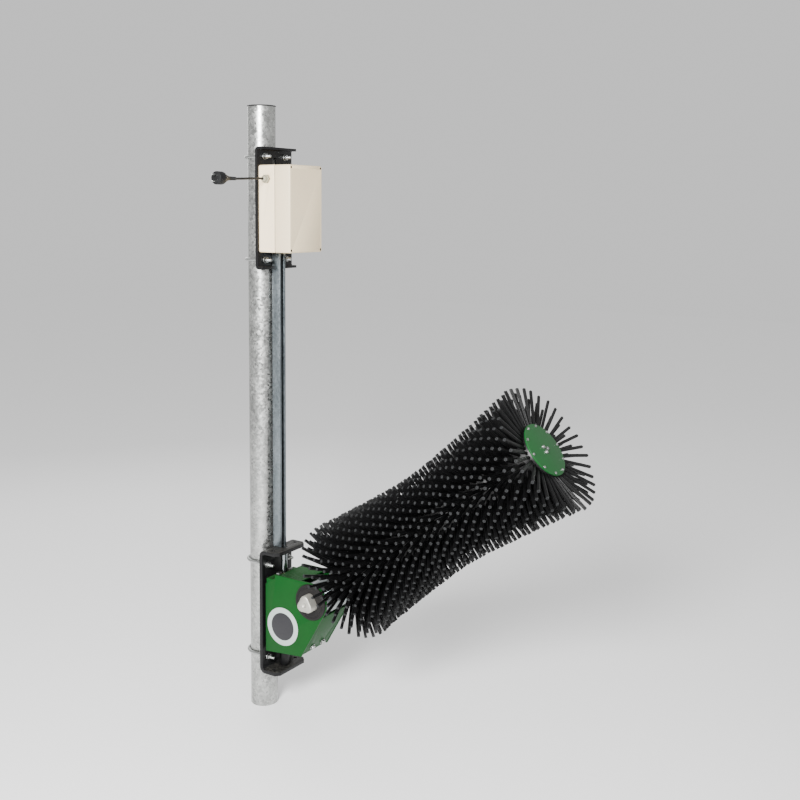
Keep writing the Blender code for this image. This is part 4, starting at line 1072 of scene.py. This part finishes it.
@dataclass
class Brackets:
    """The two folded plates, their U-bolts and nuts, and the channel between them."""

    post_r: float = POST_R
    rod_r: float = 0.005
    upper_face: float = 0.05275
    lower_face: float = 0.05675
    rod_end: float = 0.026
    upper_heights: tuple[float, float] = (1.8066, 1.4826)
    lower_heights: tuple[float, float] = (0.4932, 0.1837)
    thread_pitch: float = 0.0015
    washer_r: float = 0.010
    washer_t: float = 0.002
    nut_flats: float = 0.016
    nut_h: float = 0.008
    bend_facets: int = 24
    bend_steps: int = 40
    thread_root: float = 0.88
    thread_crest: float = 0.99

    def leg_y(self) -> float:
        """Distance of a U-bolt's legs from the middle of the post, as on the solids' faceted bend."""
        return (self.post_r + self.rod_r + GAP) / math.cos(math.pi / self.bend_facets)

    def build(self) -> None:
        """Builds and dresses both plates, the channel and every fastener."""
        for node, name, edge, finish, slot in (
            ("upper_bracket", "upper_bracket_plate", 0.0009, BLACK_COAT, "black_coat"),
            ("lower_bracket", "lower_bracket_plate", 0.0009, BLACK_COAT, "black_coat"),
            ("cable_channel", "rolled_channel", 0.0004, STRIP_ZINC, "galvanised_post"),
        ):
            present(softened(node, name, edge), finish, "mounting", [node])
        dress_node("channel_screw", ZINC_PLATE)
        seats = [(z, self.upper_face) for z in self.upper_heights]
        seats += [(z, self.lower_face) for z in self.lower_heights]
        for number, (z, face) in enumerate(seats, 1):
            self.u_bolt(number, z, face)
        row = FastenerRow(
            "bracket_nuts",
            HeadStyle.HEX,
            self.nut_flats / math.sqrt(3),
            self.nut_h,
            self.washer_r,
            self.washer_t,
            Vector((1, 0, 0)),
        )
        places = [Vector((face + GAP, side * self.leg_y(), z)) for z, face in seats for side in (-1, 1)]
        nodes = [f"u_bolt_nut_{k}_{side}" for k in range(1, 5) for side in ("left", "right")]
        present(row.build(places, ZINC_PLATE), ZINC_PLATE, "mounting", nodes)

    def u_bolt(self, number: int, z: float, face: float) -> None:
        """Bends one U-bolt and cuts the thread on its legs.

        Args:
            number: Its number, from the top.
            z: Its height.
            face: Outer face of the bracket that it holds.
        """
        half = self.leg_y()
        angles = [math.pi * k / self.bend_steps for k in range(self.bend_steps + 1)]
        bend = [Vector((-half * math.sin(a), -half * math.cos(a), z)) for a in angles]
        end = face + self.rod_end
        shank = face + self.nut_h + self.washer_t
        points = [Vector((shank, -half, z)), *bend, Vector((shank, half, z))]
        shape = bmesh.new()
        add_tube(shape, points, self.rod_r)
        length = end - shank
        root = self.rod_r * self.thread_root
        crest = self.rod_r * self.thread_crest
        rings: list[Ring] = []
        for k in range(int(length / self.thread_pitch)):
            low = k * self.thread_pitch
            rings += [(low, root), (low + self.thread_pitch / 2, crest)]
        rings += [(length - 0.0006, root), (length, self.rod_r * 0.72)]
        for side in (-1, 1):
            place = frame_at((shank, side * half, z), (1, 0, 0), (0, 1, 0))
            add_turned(shape, rings, 20, place=place)
        bolt = shown(f"bent_bolt_{number}", shape)
        present(bolt, ZINC_PLATE, "mounting", [f"u_bolt_{number}"])


@dataclass
class ControlBox:
    """Two-part plastic box with its screws, what it holds, and its gland."""

    half_w: float = 0.082
    low: float = 1.5077
    high: float = 1.779
    lid_front: float = 0.17965
    screw_inset: float = 0.008
    screw_r: float = 0.0038
    edge: float = 0.0005
    gland: tuple[float, float, float] = (0.08905, -0.082, 1.736)
    gland_flats: float = 0.024
    gland_nut: float = 0.009
    gland_r: float = 0.0095
    gland_dome: float = 0.011
    gland_bore: float = 0.0038
    stem_r: float = 0.0078
    flutes: int = 16
    flute_depth: float = 0.0003

    def build(self) -> None:
        """Builds and dresses the box, its screws and its gland."""
        for node, name, finish, slot in (
            ("box_base", "moulded_base", CREAM_ABS, "cream_plastic"),
            # The lid's darker cream is painted shade, not a plastic of its own.
            ("box_lid", "moulded_lid", SHADED_CREAM_ABS, "grey_plastic"),
        ):
            present(softened(node, name, self.edge), finish, "mounting", [node])
        dress_node("lid_gasket", RUBBER)
        dress_node("control_board", BOARD_RESIN)
        for number in range(1, 5):
            dress_node(f"box_bolt_{number}", ZINC_PLATE)
        self.screws()
        self.cable_gland()

    def screws(self) -> None:
        """Screws with a socket, in the corners of the lid."""
        rings = [
            (-0.0026, self.screw_r),
            (0.0018, self.screw_r),
            (0.0022, self.screw_r - 0.0004),
            (0.0022, 0.0016),
            (0.0008, 0.0014),
        ]
        shape = bmesh.new()
        for z in (self.low + self.screw_inset, self.high - self.screw_inset):
            for side in (-1, 1):
                y = side * (self.half_w - self.screw_inset)
                place = frame_at((self.lid_front - 0.003, y, z), (1, 0, 0), (0, 1, 0))
                add_turned(shape, rings, 24, place=place)
        heads = shown("lid_screws", shape)
        nodes = [f"lid_screw_{k}" for k in range(1, 5)]
        present(heads, DARK_STEEL, "mounting", nodes)

    def cable_gland(self) -> None:
        """Gland with a hexagon, a fluted dome and the sealing lip round the cord."""
        place = frame_at(self.gland, (0, -1, 0), (1, 0, 0))

        def hexagon(angle: float) -> float:
            """Radius of the gland's hexagon at an angle."""
            return self.gland_flats / 2 / math.cos(angle % (math.pi / 3) - math.pi / 6)

        def fluted(angle: float) -> float:
            """Radius of the dome's grip at an angle."""
            return self.gland_r - self.flute_depth * (1 - math.cos(self.flutes * angle))

        bore = self.gland_bore
        nut = GAP + self.gland_nut
        top = nut + self.gland_dome
        rings = [
            (-0.006, bore),
            (-0.006, self.stem_r),
            (GAP, self.stem_r),
            (GAP, lambda a: hexagon(a) - 0.0004),
            (GAP + 0.0005, hexagon),
            (nut - 0.0006, hexagon),
            (nut, lambda a: hexagon(a) - 0.0008),
            (nut, fluted),
            (top - 0.0042, fluted),
            (top - 0.0024, self.gland_r - 0.0014),
            (top - 0.0008, self.gland_r - 0.0034),
            (top, self.gland_r - 0.0048),
            (top, bore),
        ]
        gland = turned("screwed_gland", rings, place, 96, hollow=True)
        present(gland, GLAND_NYLON, "mounting", ["cable_gland"])


@dataclass
class MainsLead:
    """Short mains cord that stands straight out of the gland, with its plug."""

    exit: tuple[float, float, float] = (0.08905, -0.0963, 1.736)
    radius: float = 0.0035
    route: tuple[tuple[float, float], ...] = (
        (0.0, 0.0),
        (0.028, -0.0002),
        (0.056, -0.0010),
        (0.084, -0.0022),
        (0.112, -0.0033),
        (0.130, -0.0037),
    )
    steps: int = 4
    boot_l: float = 0.052
    boot_r: float = 0.0062
    ribs: int = 7
    rib_pitch: float = 0.0038
    plug_r: float = 0.0195
    plug_l: float = 0.034
    pin_pitch: float = 0.019
    pin_r: float = 0.0024
    pin_l: float = 0.019

    def line(self) -> list[Vector]:
        """Points along the cord's middle, from the gland to the plug."""
        fixed = [Vector(self.exit) + Vector((0, -along, down)) for along, down in self.route]
        points = []
        for k in range(len(fixed) - 1):
            near = (fixed[max(k - 1, 0)], fixed[k], fixed[k + 1], fixed[min(k + 2, len(fixed) - 1)])
            for step in range(self.steps):
                t = step / self.steps
                weights = (
                    (-t + 2 * t**2 - t**3) / 2,
                    (2 - 5 * t**2 + 3 * t**3) / 2,
                    (t + 4 * t**2 - 3 * t**3) / 2,
                    (-(t**2) + t**3) / 2,
                )
                points.append(sum((w * p for w, p in zip(weights, near)), Vector()))
        return [*points, fixed[-1]]

    def build(self) -> None:
        """Builds and dresses the cord, the plug and its pins."""
        points = self.line()
        shape = bmesh.new()
        add_tube(shape, points, self.radius)
        cord = shown("mains_lead", shape)
        present(cord, CORD_RUBBER, "mounting", ["mains_cord"])
        plug = self.plug(points[-1] + Vector((0, -GAP, 0)))

    def plug(self, start: Vector) -> list[Piece]:
        """Moulded plug with a ribbed boot and two round pins.

        Args:
            start: Where its boot begins.

        Returns:
            The plug and its pins.
        """
        place = frame_at(start, (0, -1, 0), (1, 0, 0))
        rings: list[Ring] = [(0, self.boot_r * 0.62), (0.001, self.boot_r * 0.82)]
        for k in range(self.ribs):
            low = 0.003 + k * self.rib_pitch
            swell = 0.86 + 0.12 * k / self.ribs
            for up, share in ((0, swell), (0.0008, swell - 0.14), (0.0018, swell - 0.14), (0.0026, swell)):
                rings.append((low + up, self.boot_r * share))
        neck = self.boot_l
        end = neck + self.plug_l
        rings += [
            (neck * 0.64, self.boot_r * 1.05),
            (neck * 0.78, self.boot_r * 1.5),
            (neck * 0.9, self.plug_r * 0.58),
            (neck, self.plug_r * 0.74),
            (neck + self.plug_l * 0.16, self.plug_r * 0.9),
            (neck + self.plug_l * 0.3, self.plug_r * 0.985),
            (neck + self.plug_l * 0.36, self.plug_r),
            (end - 0.0016, self.plug_r),
            (end - 0.0005, self.plug_r - 0.0005),
            (end, self.plug_r - 0.0016),
        ]
        body = turned("moulded_plug", rings, place, 48)
        present(body, CORD_RUBBER, "mounting", ["plug_body"])
        made = [body]
        pin_rings = [
            (0, self.pin_r),
            (self.pin_l - 0.0026, self.pin_r),
            (self.pin_l - 0.0010, self.pin_r * 0.82),
            (self.pin_l - GAP, self.pin_r * 0.4),
        ]
        for number, side in enumerate((-1, 1), 1):
            offset = Matrix.Translation((0, side * self.pin_pitch / 2, end + GAP))
            pin = turned(f"round_pin_{number}", pin_rings, place @ offset, 24)
            present(pin, ZINC_PLATE, "mounting", [f"plug_pin_{number}"])
            made.append(pin)
        return made


@dataclass
class SwingHousing:
    """Welded housing on its pin, with its cover, bolts, bushes and the bare disc."""

    pivot_x: float = 0.0865
    pin_r: float = 0.010
    low: float = 0.1387
    high: float = 0.5442
    half_w: float = 0.071
    block_top: float = 0.456
    hinge_bolt_y: float = 0.0275
    hinge_bolt_flats: float = 0.017
    hinge_bolt_head: float = 0.0105
    hinge_washer_r: float = 0.0096
    hinge_washer_t: float = 0.0015
    disc_r: float = 0.062
    disc_t: float = 0.0012
    toe: tuple[float, float] = (0.2104, 0.2262)
    nose: tuple[float, float] = (TILT[0], TILT[2])
    nose_r: float = 0.060
    cover_sunk: float = 0.001
    cover_screw_up: float = 0.024
    cover_screw_y: float = 0.027
    cover_screw_r: float = 0.0078
    cover_screw_h: float = 0.0050
    cover_screw_edge: float = 0.0012
    cover_washer_r: float = 0.0100
    cover_washer_t: float = 0.0016

    def build(self) -> None:
        """Builds and dresses every piece of the housing."""
        for node, name, edge, finish, body, slot in (
            ("housing_shell", "welded_housing", 0.0007, GREEN_ENAMEL, "housing", "green_paint"),
            ("front_cover", "folded_cover", 0.0007, GREEN_ENAMEL, "housing", "green_paint"),
            ("pivot_spacer", "spacer_tube", 0.0006, BLACK_COAT, "mounting", "black_coat"),
        ):
            present(softened(node, name, edge), finish, body, [node])
        pin = turned(
            "ground_pin",
            rounded(self.low, self.high, self.pin_r, 0.0012),
            frame_at((self.pivot_x, 0, 0), (0, 0, 1), (1, 0, 0)),
            64,
        )
        present(pin, POLISHED, "mounting", ["pivot_pin"])
        for node in ("hinge_bush_upper", "hinge_bush_lower"):
            dress_node(node, BRONZE)
        self.bolts()
        self.bare_disc()

    def bolts(self) -> None:
        """Hexagon heads on the hinge block and round heads on the front cover."""
        cover = self.cover_place()
        out = cover.to_3x3() @ Vector((0, 0, 1))
        for side, name in ((-1, "left"), (1, "right")):
            hinge_seat = Vector((self.pivot_x, side * self.hinge_bolt_y, self.block_top + GAP))
            hinge_head = FastenerRow(
                f"hinge_head_{name}",
                HeadStyle.HEX,
                self.hinge_bolt_flats / math.sqrt(3),
                self.hinge_bolt_head - self.hinge_washer_t - GAP,
                self.hinge_washer_r,
                self.hinge_washer_t,
                Vector((0, 0, 1)),
                seed=5 + side,
            )
            cover_seat = cover @ Vector((self.cover_screw_up, side * self.cover_screw_y, GAP))
            cover_head = FastenerRow(
                f"cover_head_{name}",
                HeadStyle.ROUND,
                self.cover_screw_r,
                self.cover_screw_h,
                self.cover_washer_r,
                self.cover_washer_t,
                out,
                edge=self.cover_screw_edge,
            )
            for row, seat, node in (
                (hinge_head, hinge_seat, f"hinge_bolt_{name}"),
                (cover_head, cover_seat, f"cover_screw_{name}"),
            ):
                present(row.build([seat], ZINC_PLATE), ZINC_PLATE, "housing", [node])

    def cover_place(self) -> Matrix:
        """Placement on the front cover's outer face.

        Returns:
            The placement, with X up the cover and Z out of it.
        """
        toe = Vector(self.toe)
        nose = Vector(self.nose)
        reach = nose - toe
        slope = math.atan2(reach.y, reach.x) - math.asin(self.nose_r / reach.length)
        along = Vector((math.cos(slope), math.sin(slope)))
        out = Vector((along.y, -along.x))
        face = toe - out * self.cover_sunk
        return frame_at((face.x, 0, face.y), (out.x, 0, out.y), (along.x, 0, along.y))

    def bare_disc(self) -> None:
        """Plain two-tone film disc on the side plate."""
        place = frame_at((DISC_CENTRE[0], -self.half_w, DISC_CENTRE[2]), (0, -1, 0), (1, 0, 0))
        rings = rounded(GAP, GAP + self.disc_t, self.disc_r, 0.0003, 2)
        disc = turned("film_disc", rings, place, 96)
        present(disc, BARE_DISC, "housing", ["side_disc"])


@dataclass
class TorsionUnit:
    """Three-sided bar in rubber, and the drum with the arm's neck between the side plates."""

    tilt: tuple[float, float, float] = TILT
    face: float = 0.0716
    rubber_r: float = 0.0575
    rubber_t: float = 0.006
    bush_r: float = 0.045
    bar_r: float = 0.0262
    lobe: float = 0.14
    bar_end: float = 0.030
    drum_r: float = 0.056
    drum_half: float = 0.0648
    neck_r: float = 0.038
    flange_from: float = 0.098
    flange_t: float = 0.010
    flange_r: float = 0.064

    def across(self) -> Matrix:
        """Placement on the torsion axis, with Z towards the camera's side."""
        return frame_at(self.tilt, (0, -1, 0), (0, 0, 1))

    def lobed(self, inset: float) -> Callable[[float], float]:
        """Rounded three-sided section.

        Args:
            inset: How far the section is drawn in.

        Returns:
            Radius by angle.
        """
        return lambda angle: self.bar_r * (1 + self.lobe * math.cos(3 * angle)) - inset

    def build(self) -> None:
        """Builds and dresses the bar, the rubber bushes and the drum with its neck."""
        end = self.face + self.rubber_t + self.bar_end
        rings: list[Ring] = [
            (-end, self.lobed(0.0030)),
            (-end + 0.0012, self.lobed(0.0012)),
            (-end + 0.0030, self.lobed(0)),
            (end - 0.0030, self.lobed(0)),
            (end - 0.0012, self.lobed(0.0012)),
            (end, self.lobed(0.0030)),
            (end, 0.0080),
            (end - 0.0010, 0.0072),
            (end - 0.0040, 0.0010),
        ]
        bar = turned("three_sided_bar", rings, self.across(), 96)
        present(bar, CAST_BAR, "arm", ["torsion_bar"])
        for side, name in ((1, "left"), (-1, "right")):
            self.bush(side, name)
        self.drum()

    def bush(self, side: int, name: str) -> None:
        """One rubber bush with a moulded rim and a raised collar round the bar.

        Args:
            side: 1 towards the camera's side, -1 away from it.
            name: Side of the frame node.
        """
        out = self.face + self.rubber_t
        rim = self.rubber_r
        rings: list[Ring] = [
            (side * (self.drum_half + GAP), self.lobed(-GAP)),
            (side * (self.drum_half + GAP), self.bush_r),
            (side * self.face, self.bush_r),
            (side * self.face, rim - 0.0008),
            (side * (self.face + 0.0008), rim),
            (side * (out - 0.0022), rim),
            (side * (out - 0.0007), rim - 0.0008),
            (side * out, rim - 0.0026),
            (side * out, rim - 0.0070),
            (side * (out - 0.0012), rim - 0.0082),
            (side * (out - 0.0012), rim - 0.0120),
            (side * out, rim - 0.0132),
            (side * out, self.lobed(-GAP - 0.0008)),
            (side * (out - 0.0008), self.lobed(-GAP)),
        ]
        bush = turned(f"torsion_rubber_{name}", rings, self.across(), 96, hollow=True)
        present(bush, RUBBER, "arm", [f"rubber_bush_{name}"])

    def drum(self) -> None:
        """Polished drum, with the neck and the motor flange that leave it along the brush."""
        shape = bmesh.new()
        half = self.drum_half
        across = self.across()
        hole = self.lobed(-GAP)
        rings: list[Ring] = [
            (-half, hole),
            (-half, self.drum_r - 0.001),
            (-half + 0.001, self.drum_r),
            (half - 0.001, self.drum_r),
            (half, self.drum_r - 0.001),
            (half, hole),
        ]
        add_turned(shape, rings, 128, hollow=True, place=across)
        along = Brush().axis()
        end = self.flange_from + self.flange_t
        neck = [
            (self.drum_r - 0.010, self.neck_r),
            (self.flange_from - 0.003, self.neck_r),
            (self.flange_from - 0.001, self.neck_r + 0.001),
            (self.flange_from, self.neck_r + 0.003),
            (self.flange_from, self.flange_r - 0.001),
            (self.flange_from + 0.001, self.flange_r),
            (end - 0.001, self.flange_r),
            (end, self.flange_r - 0.001),
        ]
        add_turned(shape, neck, 96, place=along)
        drum = shown("arm_drum", shape)
        present(drum, POLISHED, "arm", ["arm_hub"])


@dataclass
class Brush:
    """Roller with its tufts, the disc on its end, and the drive inside."""

    tilt: tuple[float, float, float] = TILT
    slope_deg: float = 37.0
    core_from: float = 0.1217
    core_wall: float = 0.004
    core_r: float = 0.068
    disc_end: float = 0.952
    disc_t: float = 0.005
    disc_r: float = 0.081
    rim_bolts: int = 10
    rim_r: float = 0.0742
    centre_r: float = 0.0095
    segments: int = 5
    rim: float = 0.0008
    field: TuftField = field(default_factory=TuftField)

    def axis(self) -> Matrix:
        """Placement on the torsion axis, with Z along the brush."""
        slope = math.radians(self.slope_deg)
        return frame_at(self.tilt, (math.cos(slope), 0, math.sin(slope)), (0, 1, 0))

    def build(self) -> None:
        """Builds and dresses the roller, its disc and its tufts."""
        for node, finish in zip(
            ("gear_motor", "core_bearing", "drive_plate"), (MOTOR_PAINT, BRONZE, ZINC_PLATE)
        ):
            dress_node(node, finish)
        back = self.disc_end - self.disc_t
        inner = self.core_r - self.core_wall
        rings = [
            (self.core_from, inner),
            (self.core_from, self.core_r),
            (back - GAP, self.core_r),
            (back - GAP, inner),
        ]
        tube = turned("roller_tube", rings, self.axis(), 64, hollow=True)
        present(tube, ZINC_PLATE, "brush", ["core_tube"])
        self.end_disc()
        rows = self.field.rows // self.segments
        recipe = self.field.recipe(self.field.values(0, rows, BRISTLE))
        for number in range(self.segments):
            self.segment(number, rows, recipe)

    def segment(self, number: int, rows: int, recipe: Recipe) -> None:
        """One slip-on ring with its rows of tufts.

        Args:
            number: Its number, from the torsion unit outwards.
            rows: Rows of tufts on it.
            recipe: Tree that grows the tufts.
        """
        values = self.field.values(number * rows, rows, BRISTLE)
        tufts = recipe.baked(f"tufts_{number + 1}", values, [Vector()])
        tufts.data.transform(self.axis())
        step = self.field.length / self.segments
        low = self.field.start + number * step + GAP
        high = low + step - 2 * GAP
        inner = self.core_r + GAP
        outer = self.field.root_r + 0.0001
        shape = bmesh.new()
        shape.from_mesh(tufts.data)
        rings = [
            (low, inner),
            (low, outer - self.rim),
            (low + self.rim, outer),
            (high - self.rim, outer),
            (high, outer - self.rim),
            (high, inner),
        ]
        add_turned(shape, rings, 64, hollow=True, place=self.axis())
        shape.to_mesh(tufts.data)
        shape.free()
        smooth(tufts.data, 65)
        present(tufts, BRISTLE, "brush", [f"brush_segment_{number + 1}"])

    def end_disc(self) -> None:
        """Painted disc with its ring of rim bolts and the three fixings in its middle."""
        back = self.disc_end - self.disc_t
        axis = self.axis()
        disc = turned("roller_disc", rounded(back, self.disc_end, self.disc_r, 0.0009, 3), axis, 96)
        # The disc's lighter green enamel is painted light.
        present(disc, LIT_DISC_ENAMEL, "brush", ["end_disc"])
        way = axis.to_3x3() @ Vector((0, 0, 1))
        for name, count, ring, radius, height, seed in (
            ("rim_bolts", self.rim_bolts, self.rim_r, 0.0038, 0.0024, 2),
            ("centre_bolts", 3, self.centre_r, 0.0050, 0.0040, 9),
        ):
            row = FastenerRow(name, HeadStyle.HEX, radius, height, radius * 1.1, 0.0005, way, seed)
            seats = [
                axis @ Vector((ring * math.cos(a), ring * math.sin(a), self.disc_end + 0.00005))
                for a in (2 * math.pi * k / count for k in range(count))
            ]
            present(row.build(seats, ZINC_PLATE), ZINC_PLATE, "brush")


# Studio


@dataclass
class Studio:
    """Plain pale floor, soft light mostly from the camera's left, and the camera of the photo."""

    position: tuple[float, float, float] = (2.2592, -2.6955, 1.6444)
    azimuth_deg: float = 32.69
    pitch_deg: float = 5.80
    roll_rad: float = 0.0075
    focal_px: float = 1081.73
    centre_y_px: float = 319.35
    image_px: float = 800.0
    floor_half: float = 14.0
    world_strength: float = 0.8

    def build(self) -> None:
        """Builds the floor, the lights and the camera."""
        self.floor()
        self.world()
        for name, place, target, size, watts in (
            ("key", (1.5, -3.6, 2.5), (0.3, 0, 0.9), 1.2, 460.0),
            ("back", (-2.4, 1.8, 2.6), (0.2, 0, 1.2), 2.0, 30.0),
        ):
            self.light(name, place, target, size, watts)
        self.camera()

    def floor(self) -> None:
        """Pale floor under the post's lower end."""
        wide = self.floor_half
        corners = [(-wide, -wide, 0), (wide, -wide, 0), (wide, wide, 0), (-wide, wide, 0)]
        mesh = bpy.data.meshes.new("floor")
        mesh.from_pydata(corners, [], [(0, 1, 2, 3)])
        floor = in_scene("floor", mesh)
        paint = bpy.data.materials.new("pale floor")
        paint.use_nodes = True
        shader = paint.node_tree.nodes["Principled BSDF"]
        shader.inputs["Base Color"].default_value = linear("#FEFEFE")
        shader.inputs["Roughness"].default_value = 1.0
        shader.inputs["Specular IOR Level"].default_value = 0.0
        mesh.materials.append(paint)

    def world(self) -> None:
        """Even pale surroundings."""
        world = bpy.data.worlds.new("studio")
        world.use_nodes = True
        back = world.node_tree.nodes["Background"]
        back.inputs["Color"].default_value = linear("#FFFFFF")
        back.inputs["Strength"].default_value = self.world_strength
        bpy.context.scene.world = world

    def light(
        self, name: str, place: Sequence[float], target: Sequence[float], size: float, watts: float
    ) -> None:
        """Adds one large soft light.

        Args:
            name: Its name.
            place: Where it stands.
            target: What it shines at.
            size: Side of its square.
            watts: Its power.
        """
        lamp = bpy.data.lights.new(name, "AREA")
        lamp.size = size
        lamp.energy = watts
        made = in_scene(name, lamp)
        made.location = place
        made.rotation_euler = (Vector(target) - Vector(place)).to_track_quat("-Z", "Y").to_euler()

    def camera(self) -> None:
        """Places the camera that was fitted to the photo."""
        a = math.radians(self.azimuth_deg)
        p = math.radians(self.pitch_deg)
        right = Vector((math.cos(a), math.sin(a), 0))
        ahead = Vector((-math.sin(a) * math.cos(p), math.cos(a) * math.cos(p), -math.sin(p)))
        up = right.cross(ahead)
        c, s = math.cos(self.roll_rad), math.sin(self.roll_rad)
        turned_right = right * c + up * s
        turned_up = up * c - right * s
        view = Matrix((turned_right, turned_up, -ahead)).transposed().to_4x4()
        view.translation = Vector(self.position)
        lens = bpy.data.cameras.new("photo camera")
        lens.sensor_width = 36.0
        lens.lens = self.focal_px * lens.sensor_width / self.image_px
        lens.shift_y = -(self.image_px / 2 - self.centre_y_px) / self.image_px
        made = in_scene("photo camera", lens)
        made.matrix_world = view
        bpy.context.scene.camera = made


def main() -> None:
    """Builds every sub-assembly in order."""
    logging.basicConfig(level=logging.INFO, format="%(message)s")
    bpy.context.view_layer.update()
    for part in (Studio, MainsLead, Post, Brackets, ControlBox, SwingHousing, TorsionUnit, Brush):
        part().build()
    LOG.info("sizes written")


if __name__ == "__main__":
    main()
